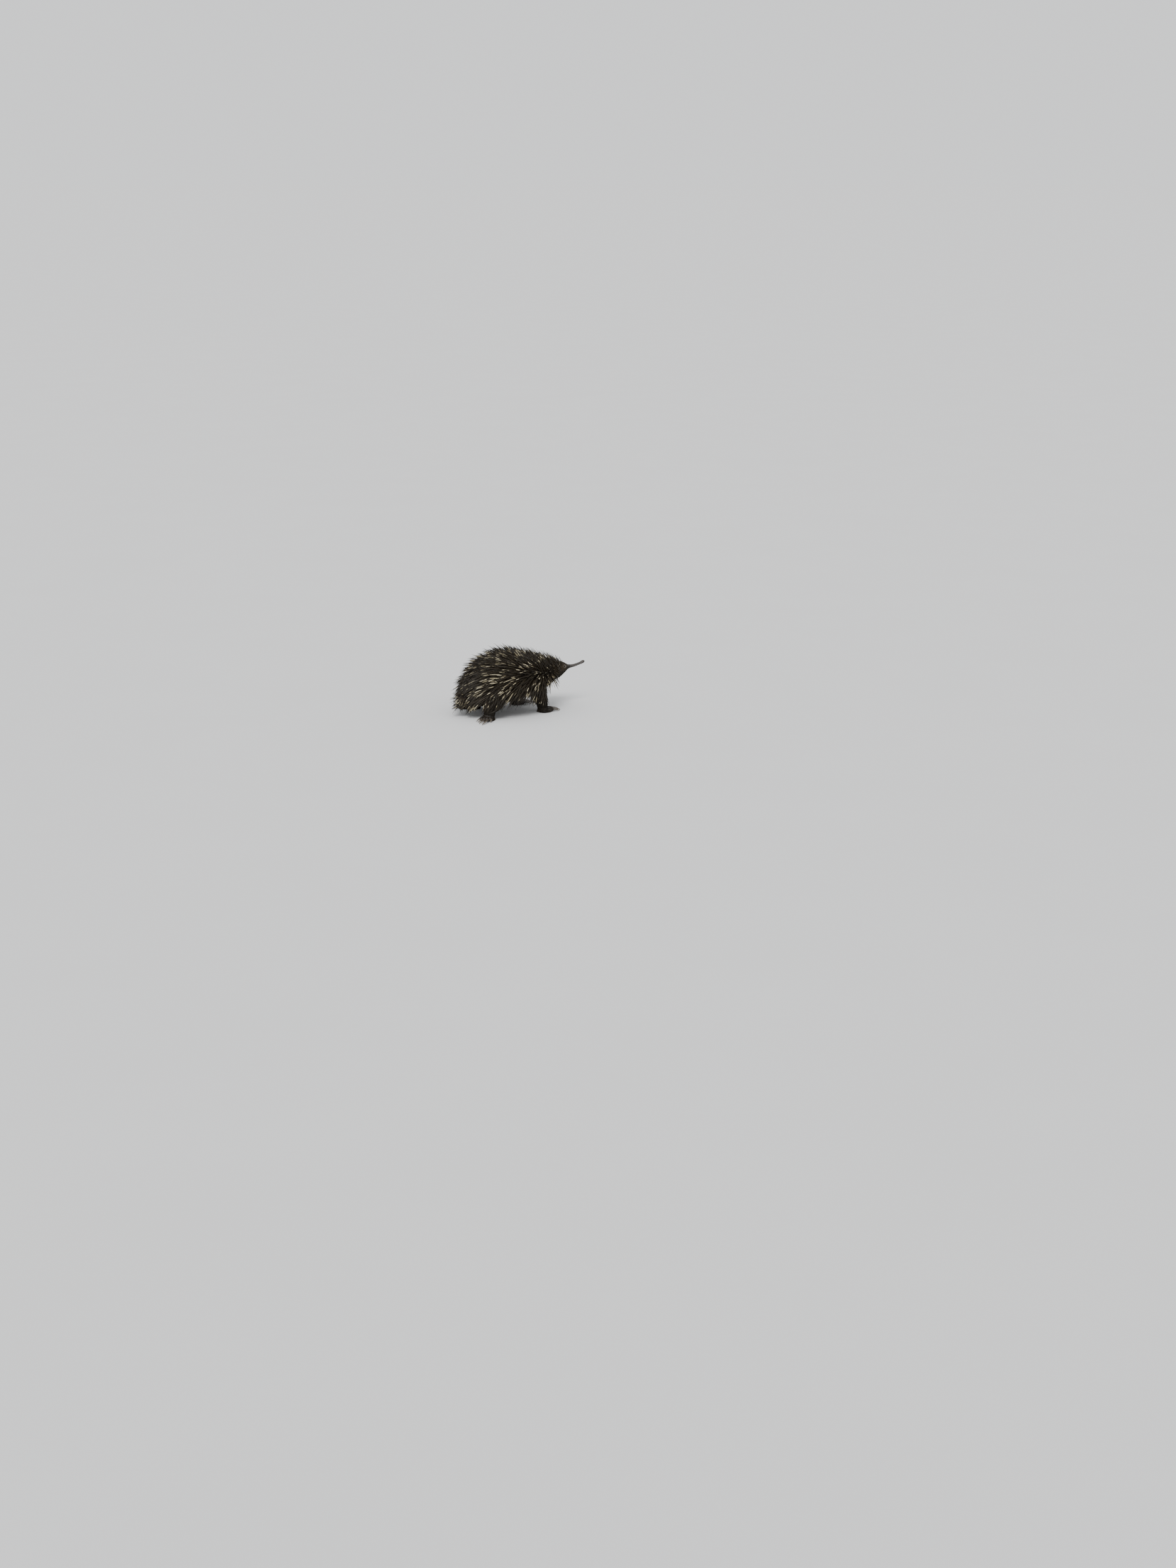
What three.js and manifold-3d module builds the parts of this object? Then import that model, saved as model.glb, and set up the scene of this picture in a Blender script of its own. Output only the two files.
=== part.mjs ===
// A short-beaked echidna, life size, standing with its head raised and its beak level.
// Lengths are in millimetres. +X points to the beak, +Y to the animal's left and +Z up.
// The flesh is modelled out to the middle of its fur. The shapes are placed round a point on
// the floor under the middle of the body, and the whole is centred on its own box at the end.

import * as THREE from 'three';
import { mergeVertices } from 'three/addons/utils/BufferGeometryUtils.js';
import Module from 'manifold-3d';

const wasm = await Module();
wasm.setup();

// Gap between two pieces that meet, and how finely the round forms are faceted.
const GAP = 0.35;
const TRUNK_SIDES = 24;
const RINGS_PER_STATION = 3;

// The trunk runs from the rump over the back, neck and head to the tip of the beak.
// Each station gives its highest and lowest point as [x, z], and its half width.
const STATIONS = [
  { name: 'rump end', top: [-108, 52], bottom: [-108, 52], half: 0 },
  { name: 'rump', top: [-102, 75], bottom: [-105, 36], half: 42 },
  { name: 'rear back', top: [-84, 99], bottom: [-90, 29], half: 64 },
  { name: 'hips', top: [-58, 123], bottom: [-56, 27], half: 82 },
  { name: 'loins', top: [-24, 141], bottom: [-12, 31], half: 92 },
  { name: 'back', top: [20, 148], bottom: [40, 40], half: 91 },
  { name: 'shoulders', top: [68, 140], bottom: [84, 51], half: 80 },
  { name: 'neck base', top: [108, 129], bottom: [114, 61], half: 60 },
  { name: 'nape', top: [138, 123], bottom: [138, 69], half: 41 },
  { name: 'crown', top: [163, 119], bottom: [159, 75], half: 30 },
  { name: 'forehead', top: [180, 113], bottom: [177, 85], half: 20 },
  { name: 'beak root', top: [193, 105.5], bottom: [191, 93], half: 10.5 },
  { name: 'mid beak', top: [209, 103.8], bottom: [208, 95.6], half: 6.2 },
  { name: 'fore beak', top: [229, 107.4], bottom: [228, 100], half: 4.8 },
  { name: 'beak bulb', top: [241, 112], bottom: [242, 104.4], half: 4.8 },
  { name: 'beak tip', top: [246, 108.8], bottom: [246, 108.8], half: 0 },
];
const WIDEST_LEVEL = 0.42; // share of a section's height at which it is widest
const BELLY_SQUARENESS = 0.78; // exponent under 1 that flattens the belly

// Thin cuts part the trunk. Each is a plane through [x, z], leaning back by tilt degrees.
const TRUNK_CUTS = [
  { name: 'neck from torso', at: [112, 95], tilt: 8 },
  { name: 'head from neck', at: [147, 95], tilt: 8 },
  { name: 'beak from head', at: [191.5, 99.5], tilt: -8 },
];
const TRUNK_NODES = ['torso', 'neck', 'head', 'beak'];

// Spines grow over the back and flanks from the crown to the tail. Their length beyond the
// flesh, radius and lift from it in degrees change from the rump (station 0) to the crown
// (station 9), as does how far round from the top they grow. They point back, and sag more the
// further round they stand.
const SPINES = {
  seed: 7,
  tries: 9000,
  spacing: 13.5,
  crown: { from: 7.2, spacing: 10.4 },
  lengths: [[0, 34], [1, 38], [2, 40], [3, 46], [5, 47], [6, 43], [7, 37], [8, 31], [9, 22], [9.6, 10]],
  radii: [[0, 1.75], [6, 1.75], [8, 1.4], [9, 1.05], [9.6, 0.9]],
  lifts: [[0, 20], [1, 12], [2, 11], [3, 15], [4, 22], [6, 25], [7, 31], [8, 40], [9.6, 46]],
  lastStation: 9.5,
  lowest: [[0, 118], [6, 108], [8, 96], [8.6, 62], [9.5, 40]],
  sunk: 3,
  sags: [[0, 0.28], [55, 0.3], [85, 0.6], [115, 1]],
  medial: 0.22,
};
// How many degrees more a spine is raised, and to what share of its length it is cut, until it
// clears the other nodes.
const WAYS_CLEAR = [[0, 1], [6, 1], [12, 1], [20, 0.95], [6, 0.7], [28, 0.8]];
const TAIL_SPINES = {
  rows: [0.45, 0.65, 0.85],
  across: [-80, -27, 27, 80],
  length: 27,
  radius: 1.5,
  lift: 26,
};

const TAIL = {
  path: [[-88, 0, 46], [-106, 0, 40], [-120, 0, 32], [-129, 0, 27]],
  radii: [0, 22, 14, 0],
};

// Each paw stands at [x, y] and points along heading, in degrees from +X for a paw on the
// left, mirrored on the right. Ankle and knee are the leg's radii there.
const FORE = { heading: -8, length: 40, width: 40, height: 22, ankle: 17, knee: 24 };
const HIND = { heading: 138, length: 41, width: 38, height: 23, ankle: 18, knee: 27 };
const LIMBS = [
  { name: 'fore', side: 'right', paw: [93, -55], kind: FORE },
  { name: 'fore', side: 'left', paw: [74, 60], kind: FORE },
  { name: 'hind', side: 'right', paw: [-82, -70], kind: HIND },
  { name: 'hind', side: 'left', paw: [-50, 74], kind: HIND },
];

// A toe behind each claw: how much wider it is than the claw, how far the row of toes lies
// behind the paw's front edge and bows back at its ends, and how many degrees it fans to a side.
const TOE = { length: 19, height: 12, margin: 1.6, back: 6, bow: 6, fan: 22, clearance: 0.2 };

// Claws from the first digit to the fifth: length, width and where each stands across the paw,
// from -1 at its inner edge to 1 at its outer one.
const FORE_CLAWS = [
  { length: 16, width: 8, across: -0.86 },
  { length: 22, width: 9, across: -0.45 },
  { length: 24, width: 9.5, across: 0 },
  { length: 22, width: 9, across: 0.45 },
  { length: 16, width: 8, across: 0.86 },
];
const HIND_CLAWS = [
  { length: 9, width: 7, across: -0.9 },
  { length: 36, width: 8, across: -0.5 },
  { length: 26, width: 7.5, across: -0.06 },
  { length: 14, width: 7, across: 0.38 },
  { length: 11, width: 6.5, across: 0.8 },
];

const EYE = { radius: 4.4, station: 9.55, angle: 62, proud: 1.5 };
const EAR = { height: 15, width: 7, thickness: 2, proud: 3.2, station: 8.75, angle: 68 };
const NOSTRIL = { radius: 1.1, back: 4.5, apart: 5.2 };
const MOUTH = { length: 12, height: 0.7 };

const COLOURS = {
  coat: { color: 0x2b251c, roughness: 0.8 },
  face: { color: 0x1d1712, roughness: 0.85 },
  beak: { color: 0x2a2220, roughness: 0.55 },
  paw: { color: 0x221b15, roughness: 0.85 },
  claw: { color: 0x4a4036, roughness: 0.4 },
  eye: { color: 0x0b0908, roughness: 0.08 },
};

const radians = THREE.MathUtils.degToRad;
const vector = (xyz) => new THREE.Vector3(...xyz);

// Solids

function bare(geometry) {
  const copy = geometry.clone();
  copy.deleteAttribute('normal');
  copy.deleteAttribute('uv');
  return mergeVertices(copy, 1e-4);
}

function solid(geometry) {
  const merged = bare(geometry);
  const vertProperties = new Float32Array(merged.attributes.position.array);
  const triVerts = new Uint32Array(merged.index.array);
  const made = new wasm.Manifold(new wasm.Mesh({ numProp: 3, vertProperties, triVerts }));
  if (made.volume() > 0) return made;
  for (let i = 0; i < triVerts.length; i += 3) {
    [triVerts[i + 1], triVerts[i + 2]] = [triVerts[i + 2], triVerts[i + 1]];
  }
  return new wasm.Manifold(new wasm.Mesh({ numProp: 3, vertProperties, triVerts }));
}

function geometryOf(body) {
  const mesh = body.getMesh();
  const positions = new Float32Array(mesh.numVert * 3);
  for (let i = 0; i < mesh.numVert; i++) {
    positions.set(mesh.vertProperties.subarray(i * mesh.numProp, i * mesh.numProp + 3), i * 3);
  }
  const geometry = new THREE.BufferGeometry();
  geometry.setAttribute('position', new THREE.BufferAttribute(positions, 3));
  geometry.setIndex(new THREE.BufferAttribute(new Uint32Array(mesh.triVerts), 1));
  geometry.computeVertexNormals();
  return geometry;
}

function largest(body) {
  return body.decompose().reduce((a, b) => (b.volume() > a.volume() ? b : a));
}

const joined = (bodies) => bodies.reduce((a, b) => a.add(b));

// The same geometry with its surface moved out by distance.
function grown(geometry, distance) {
  const merged = bare(geometry);
  merged.computeVertexNormals();
  if (solidIsInsideOut(merged)) distance = -distance;
  const { position, normal } = merged.attributes;
  for (let i = 0; i < position.count; i++) {
    position.setXYZ(
      i,
      position.getX(i) + normal.getX(i) * distance,
      position.getY(i) + normal.getY(i) * distance,
      position.getZ(i) + normal.getZ(i) * distance,
    );
  }
  merged.deleteAttribute('normal');
  return merged;
}

function solidIsInsideOut(merged) {
  const vertProperties = new Float32Array(merged.attributes.position.array);
  const triVerts = new Uint32Array(merged.index.array);
  return new wasm.Manifold(new wasm.Mesh({ numProp: 3, vertProperties, triVerts })).volume() < 0;
}

// A closed skin over form(t, angle), where t runs from one pole to the other.
function skin(form, sides, rings) {
  const geometry = new THREE.SphereGeometry(1, sides, rings);
  const { position, uv } = geometry.attributes;
  for (let i = 0; i < position.count; i++) {
    const t = 1 - uv.getY(i);
    const pole = t === 0 || t === 1;
    const point = form(t, pole ? 0 : uv.getX(i) * 2 * Math.PI);
    position.setXYZ(i, point.x, point.y, point.z);
  }
  return geometry;
}

// Trunk

const railOf = (points) => new THREE.CatmullRomCurve3(points, false, 'centripetal');
const topRail = railOf(STATIONS.map(({ top: [x, z] }) => vector([x, 0, z])));
const bottomRail = railOf(STATIONS.map(({ bottom: [x, z] }) => vector([x, 0, z])));
const widthRail = railOf(STATIONS.map(({ top: [x], half }) => vector([x, half, 0])));
const LAST_STATION = STATIONS.length - 1;

// A point on the trunk, where angle 0 is the top and 90 degrees the animal's left side.
function trunkPoint(t, angle) {
  const top = topRail.getPoint(t);
  const bottom = bottomRail.getPoint(t);
  const half = Math.max(0, widthRail.getPoint(t).y);
  const middle = bottom.clone().lerp(top, WIDEST_LEVEL);
  const up = Math.cos(angle);
  const across = Math.sin(angle);
  const squareness = up < 0 ? BELLY_SQUARENESS : 1;
  const reach = Math.abs(up) ** squareness;
  const point = middle.clone().lerp(up < 0 ? bottom : top, reach);
  point.y = Math.sign(across) * half * Math.abs(across) ** squareness;
  return point;
}

// The direction out of a form's surface.
function normalOf(form, t, angle) {
  const step = 1e-3;
  const along = form(Math.min(1, t + step), angle).sub(form(Math.max(0, t - step), angle));
  const round = form(t, angle + step).sub(form(t, angle - step));
  return along.cross(round).normalize();
}

function cutSlab({ at: [x, z], tilt }) {
  const slab = new THREE.BoxGeometry(GAP, 400, 400);
  slab.rotateY(radians(-tilt));
  slab.translate(x, 0, z);
  return solid(slab);
}

const trunkRings = LAST_STATION * RINGS_PER_STATION;
const flesh = skin(trunkPoint, TRUNK_SIDES, trunkRings);
const trunkNear = solid(grown(flesh, GAP));

function partTrunk(trunk) {
  const cuts = TRUNK_CUTS.map(cutSlab);
  const parted = cuts.reduce((body, slab) => body.subtract(slab), trunk);
  const pieces = parted.decompose().sort((a, b) => a.boundingBox().min[0] - b.boundingBox().min[0]);
  return Object.fromEntries(TRUNK_NODES.map((name, i) => [name, pieces[i]]));
}

const parts = partTrunk(solid(flesh));

// Head

// A matrix that stands at a point of the trunk with +Z out of the surface and +Y towards the top.
function standOn(station, degrees, depth) {
  const t = station / LAST_STATION;
  const point = trunkPoint(t, radians(degrees));
  const out = normalOf(trunkPoint, t, radians(degrees));
  const ahead = new THREE.Vector3(0, 0, 1).cross(out).normalize();
  const up = out.clone().cross(ahead);
  const origin = point.addScaledVector(out, -depth);
  return new THREE.Matrix4().makeBasis(ahead, up, out).setPosition(origin);
}

function eyeAndLids(sign) {
  const stand = standOn(EYE.station, sign * EYE.angle, EYE.radius - EYE.proud);
  const ball = solid(new THREE.SphereGeometry(EYE.radius, 12, 8).applyMatrix4(stand));
  const socket = solid(new THREE.SphereGeometry(EYE.radius + GAP, 12, 8).applyMatrix4(stand));
  const lid = new THREE.TorusGeometry(EYE.radius + 0.3, 1.3, 5, 12);
  lid.scale(1.18, 0.86, 1);
  lid.translate(0, 0, EYE.radius - EYE.proud - 0.2);
  return { ball, socket, lid: solid(lid.applyMatrix4(stand)) };
}

// A half-round cup that opens forwards, behind the slit of the ear.
function earCup(sign) {
  const outline = new THREE.Shape();
  outline.absellipse(0, 0, EAR.width / 2, EAR.height / 2, Math.PI / 2, (3 * Math.PI) / 2);
  const inner = EAR.width / 2 - EAR.thickness;
  outline.absellipse(0, 0, inner, EAR.height / 2 - EAR.thickness, (3 * Math.PI) / 2, Math.PI / 2, true);
  const cup = new THREE.ExtrudeGeometry(outline, { depth: 9, bevelEnabled: false, curveSegments: 5 });
  cup.translate(0, 0, EAR.proud - 9);
  if (sign > 0) cup.rotateZ(Math.PI);
  return solid(cup.applyMatrix4(standOn(EAR.station, sign * EAR.angle, 0)));
}

function earSlit(sign) {
  const slit = new THREE.SphereGeometry(1, 8, 6).scale(1.7, EAR.height / 2 - 2, 5);
  return solid(slit.applyMatrix4(standOn(EAR.station, sign * EAR.angle, 0)));
}

for (const [side, sign] of [['right', -1], ['left', 1]]) {
  const eye = eyeAndLids(sign);
  parts.head = parts.head.add(eye.lid).subtract(eye.socket).subtract(earSlit(sign));
  parts[`eye_${side}`] = eye.ball;
}
parts.head = largest(parts.head);

// Beak

const beakTip = vector([STATIONS[LAST_STATION].top[0], 0, STATIONS[LAST_STATION].top[1]]);
const beakTilt = 10; // degrees that the fore beak rises forwards

function beakCuts() {
  const nostrils = [-1, 1].map((sign) => {
    const pit = new THREE.SphereGeometry(NOSTRIL.radius, 8, 6).scale(1.5, 0.8, 1);
    pit.translate(beakTip.x - NOSTRIL.back, (sign * NOSTRIL.apart) / 2, beakTip.z + 3);
    return solid(pit);
  });
  const line = new THREE.BoxGeometry(MOUTH.length, 20, MOUTH.height);
  line.translate(-MOUTH.length / 2 + 2, 0, 0);
  line.rotateY(radians(-beakTilt));
  line.translate(beakTip.x, 0, beakTip.z - 1.4);
  return [...nostrils, solid(line)];
}

parts.beak = largest(beakCuts().reduce((beak, cut) => beak.subtract(cut), parts.beak));

// Limbs

// A round form along a path, with a radius at each of its points.
function limbForm(path, radii) {
  const curve = railOf(path.map(vector));
  const sizes = railOf(radii.map((radius, i) => new THREE.Vector3(i, radius, 0)));
  return (t, angle) => {
    const forward = curve.getTangent(t);
    const side = new THREE.Vector3(0, 1, 0).cross(forward).normalize();
    const over = side.clone().cross(forward);
    const radius = Math.max(0, sizes.getPoint(t).y);
    return curve
      .getPoint(t)
      .addScaledVector(side, radius * Math.cos(angle))
      .addScaledVector(over, radius * Math.sin(angle));
  };
}

// The paw in its own frame: a low dome on a flat sole, pointing along +X.
function pawForm({ length, width, height }) {
  return (t, angle) => {
    const lie = t * Math.PI;
    const along = -Math.cos(lie);
    const round = Math.sin(lie) ** 0.8;
    const rise = 0.72 - 0.28 * along;
    const z = Math.max(0, Math.cos(angle)) * round * height * rise;
    return new THREE.Vector3((along * length) / 2, (Math.sin(angle) * round * width) / 2, z);
  };
}

function pawStand({ side, paw: [x, y], kind }) {
  const heading = side === 'left' ? kind.heading : -kind.heading;
  return new THREE.Matrix4().makeRotationZ(radians(heading)).setPosition(x, y, 0);
}

// The way of a leg from inside the body down into its paw.
function legPath({ name, side, paw: [x, y] }) {
  const out = side === 'left' ? 1 : -1;
  if (name === 'fore') {
    return [
      [x - 18, out * 30, 92],
      [x - 20, out * 48, 74],
      [x - 20, y + out * 4, 50],
      [x - 11, y + out * 2, 29],
      [x - 7, y + out, 13],
      [x - 6, y + out, 4],
    ];
  }
  return [
    [x + 32, out * 36, 88],
    [x + 32, out * 58, 72],
    [x + 22, y - out * 2, 47],
    [x + 10, y - out * 3, 28],
    [x + 6, y - out * 2, 13],
    [x + 5, y - out * 2, 4],
  ];
}

const legRadii = ({ knee, ankle }) => [0, knee, knee * 0.92, ankle, ankle * 0.85, 0];

// Where a digit starts in the paw's own frame.
function clawRoot(kind, across) {
  const x = kind.length / 2 - TOE.back - TOE.bow * across ** 2;
  return new THREE.Vector3(x, (across * kind.width) / 2.5, 7);
}

function toe(kind, { width, across }) {
  const { length, height, margin, fan, clearance } = TOE;
  const shape = new THREE.SphereGeometry(1, 6, 4);
  shape.scale(length / 2, (width + margin) / 2, height / 2);
  shape.rotateZ(radians(across * fan));
  const root = clawRoot(kind, across);
  return shape.translate(root.x, root.y, height / 2 + clearance);
}

// A claw leaves the paw's front edge, arches over and comes down to the floor.
function clawForm(kind, { length, width, across }, bend) {
  const root = clawRoot(kind, across);
  const reach = length + 8;
  const spread = radians(across * TOE.fan);
  const aim = new THREE.Vector3(Math.cos(spread), Math.sin(spread), 0);
  const sideways = new THREE.Vector3(-aim.y, aim.x, 0);
  const tip = root.clone().addScaledVector(aim, reach).addScaledVector(sideways, bend * length);
  tip.z = 1;
  const middle = root.clone().addScaledVector(aim, reach * 0.55);
  middle.z = 9;
  const curve = new THREE.QuadraticBezierCurve3(root, middle, tip);
  return (t, angle) => {
    const forward = curve.getTangent(t);
    const side = new THREE.Vector3(0, 0, 1).cross(forward).normalize();
    const over = forward.clone().cross(side);
    const size = Math.sin(Math.PI * t) ** 0.35 * (1 - 0.55 * t);
    return curve
      .getPoint(t)
      .addScaledVector(side, (width / 2) * size * Math.cos(angle))
      .addScaledVector(over, (width / 3) * size * Math.sin(angle));
  };
}

const claws = [];
for (const limb of LIMBS) {
  const { name, side, kind } = limb;
  const stand = pawStand(limb);
  const outward = side === 'left' ? 1 : -1;
  const bend = name === 'fore' ? 0 : outward * 0.3;
  const clawSizes = name === 'fore' ? FORE_CLAWS : HIND_CLAWS;
  const digits = clawSizes.map((size) => ({ ...size, across: size.across * outward }));
  const shapes = [skin(pawForm(kind), 14, 8), ...digits.map((digit) => toe(kind, digit))];
  shapes.forEach((shape) => shape.applyMatrix4(stand));
  const pawNear = joined(shapes.map((shape) => solid(grown(shape, GAP))));
  const leg = skin(limbForm(legPath(limb), legRadii(kind)), 12, 10);
  parts[`${name}leg_${side}`] = largest(solid(leg).subtract(trunkNear).subtract(pawNear));
  parts[`${name}paw_${side}`] = largest(joined(shapes.map(solid)));
  digits.forEach((digit, i) => {
    const claw = skin(clawForm(kind, digit, bend), 6, 6).applyMatrix4(stand);
    claws.push([`claw_${name}_${side}_${i + 1}`, largest(solid(claw).subtract(pawNear))]);
  });
}

// Tail

const tail = skin(limbForm(TAIL.path, TAIL.radii), 12, 7);
parts.tail = largest(solid(tail).subtract(trunkNear));

// Ears stand on the head, cut to its surface.
for (const [side, sign] of [['right', -1], ['left', 1]]) {
  parts[`ear_${side}`] = largest(earCup(sign).subtract(trunkNear));
}

// Spines

// Numbers from 0 to 1 that are the same on every run.
function seededRandom(seed) {
  let state = seed;
  return () => {
    state = (state * 1664525 + 1013904223) % 4294967296;
    return state / 4294967296;
  };
}

// The value at x of a line through [x, value] pairs.
function along(pairs, x) {
  const next = pairs.findIndex(([at]) => at >= x);
  if (next < 0) return pairs.at(-1)[1];
  if (next === 0) return pairs[0][1];
  const [[x0, a], [x1, b]] = [pairs[next - 1], pairs[next]];
  return a + ((b - a) * (x - x0)) / (x1 - x0);
}

// A straight spine from root along direction, thickest in its lower half.
function spineBody({ root, direction, length, radius, grow = 0 }) {
  const sunk = SPINES.sunk / Math.max(0.3, direction.dot(root.normal)) + radius;
  const whole = length + sunk;
  const thick = radius + grow;
  const profile = [[0, 0], [thick * 0.9, 0], [thick, whole * 0.5], [0, whole + grow]];
  const geometry = new THREE.LatheGeometry(profile.map(([x, y]) => new THREE.Vector2(x, y)), 4);
  geometry.applyQuaternion(new THREE.Quaternion().setFromUnitVectors(new THREE.Vector3(0, 1, 0), direction));
  const start = root.point.clone().addScaledVector(direction, -sunk);
  return solid(geometry.translate(start.x, start.y, start.z));
}

function overlaps(a, b) {
  const [p, q] = [a.boundingBox(), b.boundingBox()];
  if ([0, 1, 2].some((i) => p.max[i] < q.min[i] || q.max[i] < p.min[i])) return false;
  return a.intersect(b).volume() > 0;
}

// Places evenly spread over the spiny part of the trunk, from the rump forwards.
function spineRoots(random) {
  const roots = [];
  for (let i = 0; i < SPINES.tries; i++) {
    const station = random() * SPINES.lastStation;
    const angle = radians((random() * 2 - 1) * along(SPINES.lowest, station));
    const point = trunkPoint(station / LAST_STATION, angle);
    const { spacing } = station > SPINES.crown.from ? SPINES.crown : SPINES;
    if (roots.some((other) => other.point.distanceTo(point) < spacing)) continue;
    roots.push({ station, angle, point, normal: normalOf(trunkPoint, station / LAST_STATION, angle) });
  }
  return roots.sort((a, b) => a.point.x - b.point.x);
}

// The way a spine points: back over the body, turned up from the surface by lift degrees.
function spineDirection({ point, normal, angle }, lift) {
  const sag = along(SPINES.sags, Math.abs(THREE.MathUtils.radToDeg(angle)));
  const wish = new THREE.Vector3(-1, -Math.sign(point.y) * SPINES.medial * Math.max(0, normal.z), -sag);
  const flat = wish.clone().addScaledVector(normal, -wish.dot(normal)).divideScalar(wish.length());
  const least = 0.35;
  const tangent = flat.multiplyScalar(1 / Math.max(least, flat.length()));
  return tangent
    .multiplyScalar(Math.cos(radians(lift)))
    .addScaledVector(normal, Math.sin(radians(lift)))
    .normalize();
}

const trunkNodeAt = ({ x, z }) => {
  const ahead = TRUNK_CUTS.filter(({ at, tilt }) => x - at[0] > (z - at[1]) * -Math.tan(radians(tilt)));
  return TRUNK_NODES[ahead.length];
};

// Grows a spine, raised or shortened until it's clear of the other nodes, or leaves it out.
function growSpine(spines, node, root, { length, radius, lift, turn }) {
  const others = Object.keys(parts).filter((name) => name !== node).map((name) => parts[name]);
  const otherSpines = Object.keys(spines).filter((name) => name !== node).flatMap((name) => spines[name]);
  for (const [raise, share] of WAYS_CLEAR) {
    const direction = spineDirection(root, lift + raise).applyAxisAngle(root.normal, turn);
    const shape = { root, direction, length: length * share, radius };
    const near = spineBody({ ...shape, grow: GAP });
    const blocked = [...others, ...otherSpines].some((body) => overlaps(near, body));
    if (blocked || near.boundingBox().min[2] < 0) continue;
    spines[node].push(spineBody(shape));
    return;
  }
}

const random = seededRandom(SPINES.seed);
const vary = (share) => 1 + (random() * 2 - 1) * share;
const spines = { torso: [], neck: [], head: [], tail: [] };
const tailForm = limbForm(TAIL.path, TAIL.radii);
for (const row of TAIL_SPINES.rows) {
  for (const across of TAIL_SPINES.across) {
    const place = radians(across * vary(0.1));
    const root = { point: tailForm(row, place), normal: normalOf(tailForm, row, place), angle: 0 };
    const { radius, lift } = TAIL_SPINES;
    growSpine(spines, 'tail', root, { length: TAIL_SPINES.length * vary(0.15), radius, lift, turn: 0 });
  }
}
for (const root of spineRoots(random)) {
  growSpine(spines, trunkNodeAt(root.point), root, {
    length: along(SPINES.lengths, root.station) * vary(0.14),
    radius: along(SPINES.radii, root.station) * vary(0.08),
    lift: along(SPINES.lifts, root.station) * vary(0.25),
    turn: radians(7) * (random() * 2 - 1),
  });
}
for (const [node, bodies] of Object.entries(spines)) {
  parts[node] = largest(joined([parts[node], ...bodies]));
}

// Model

const MATERIAL_OF = {
  torso: 'coat',
  neck: 'coat',
  tail: 'coat',
  head: 'face',
  ear_right: 'face',
  ear_left: 'face',
  beak: 'beak',
  eye_right: 'eye',
  eye_left: 'eye',
};

const echidna = new THREE.Group();
function show(name, body, look) {
  const material = new THREE.MeshStandardMaterial({ ...COLOURS[look], metalness: 0 });
  const mesh = new THREE.Mesh(geometryOf(body), material);
  mesh.name = name;
  echidna.add(mesh);
}
for (const [name, body] of Object.entries(parts)) show(name, body, MATERIAL_OF[name] ?? 'paw');
for (const [name, body] of claws) show(name, body, 'claw');

const box = new THREE.Box3().setFromObject(echidna);
const centre = box.getCenter(new THREE.Vector3());
echidna.position.set(-centre.x, -centre.y, -box.min.z);

export default echidna;
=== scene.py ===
"""The looks of a short-beaked echidna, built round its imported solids.

The skin, fur and spines are made in millimetres in the frame that the solids were drawn in,
where the origin is on the floor under the middle of the body, and are moved to the part's own
frame at the end. Stations number the cross sections of the trunk from the rump to the beak.
"""

import math

import bmesh
import bpy
import numpy as np
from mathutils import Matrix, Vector, kdtree


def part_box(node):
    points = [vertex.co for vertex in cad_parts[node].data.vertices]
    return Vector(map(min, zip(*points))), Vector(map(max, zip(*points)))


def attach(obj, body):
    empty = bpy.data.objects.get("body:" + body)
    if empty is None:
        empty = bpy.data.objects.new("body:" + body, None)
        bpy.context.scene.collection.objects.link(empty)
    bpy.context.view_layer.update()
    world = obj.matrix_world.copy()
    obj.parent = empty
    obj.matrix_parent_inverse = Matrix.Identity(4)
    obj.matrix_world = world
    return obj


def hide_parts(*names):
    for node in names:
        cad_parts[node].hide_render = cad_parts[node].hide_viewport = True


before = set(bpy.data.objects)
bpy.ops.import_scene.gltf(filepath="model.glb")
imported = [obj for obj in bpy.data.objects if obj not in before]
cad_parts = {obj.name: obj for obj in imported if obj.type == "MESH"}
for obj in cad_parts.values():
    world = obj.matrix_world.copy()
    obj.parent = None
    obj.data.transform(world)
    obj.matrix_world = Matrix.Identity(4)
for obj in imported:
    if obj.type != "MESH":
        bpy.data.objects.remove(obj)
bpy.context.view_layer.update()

rng = np.random.default_rng(23)

# Trunk

# Highest and lowest point of each station as x, z, and its half width, as in the solids.
STATIONS = {
    "rump end": ((-108, 52), (-108, 52), 0),
    "rump": ((-102, 75), (-105, 36), 42),
    "rear back": ((-84, 99), (-90, 29), 64),
    "hips": ((-58, 123), (-56, 27), 82),
    "loins": ((-24, 141), (-12, 31), 92),
    "back": ((20, 148), (40, 40), 91),
    "shoulders": ((68, 140), (84, 51), 80),
    "neck base": ((108, 129), (114, 61), 60),
    "nape": ((138, 123), (138, 69), 41),
    "crown": ((163, 119), (159, 75), 30),
    "forehead": ((180, 113), (177, 85), 20),
    "beak root": ((193, 105.5), (191, 93), 10.5),
    "mid beak": ((209, 103.8), (208, 95.6), 6.2),
    "fore beak": ((229, 107.4), (228, 100), 4.8),
    "beak bulb": ((241, 112), (242, 104.4), 4.8),
    "beak tip": ((246, 108.8), (246, 108.8), 0),
}
LAST_STATION = len(STATIONS) - 1
WIDEST_LEVEL = 0.42
BELLY_SQUARENESS = 0.78

# How deep the skin lies in the solids, by station.
SKIN_DEPTH = ((0, 6), (5, 6), (7, 5), (8, 3.5), (9, 2), (10, 1), (10.8, 0.3), (12, 0.1), (15, 0.1))
LIMB_DEPTH = 3.0
PAW_DEPTH = 1.5
TOE_DEPTH = 0.7

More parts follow.
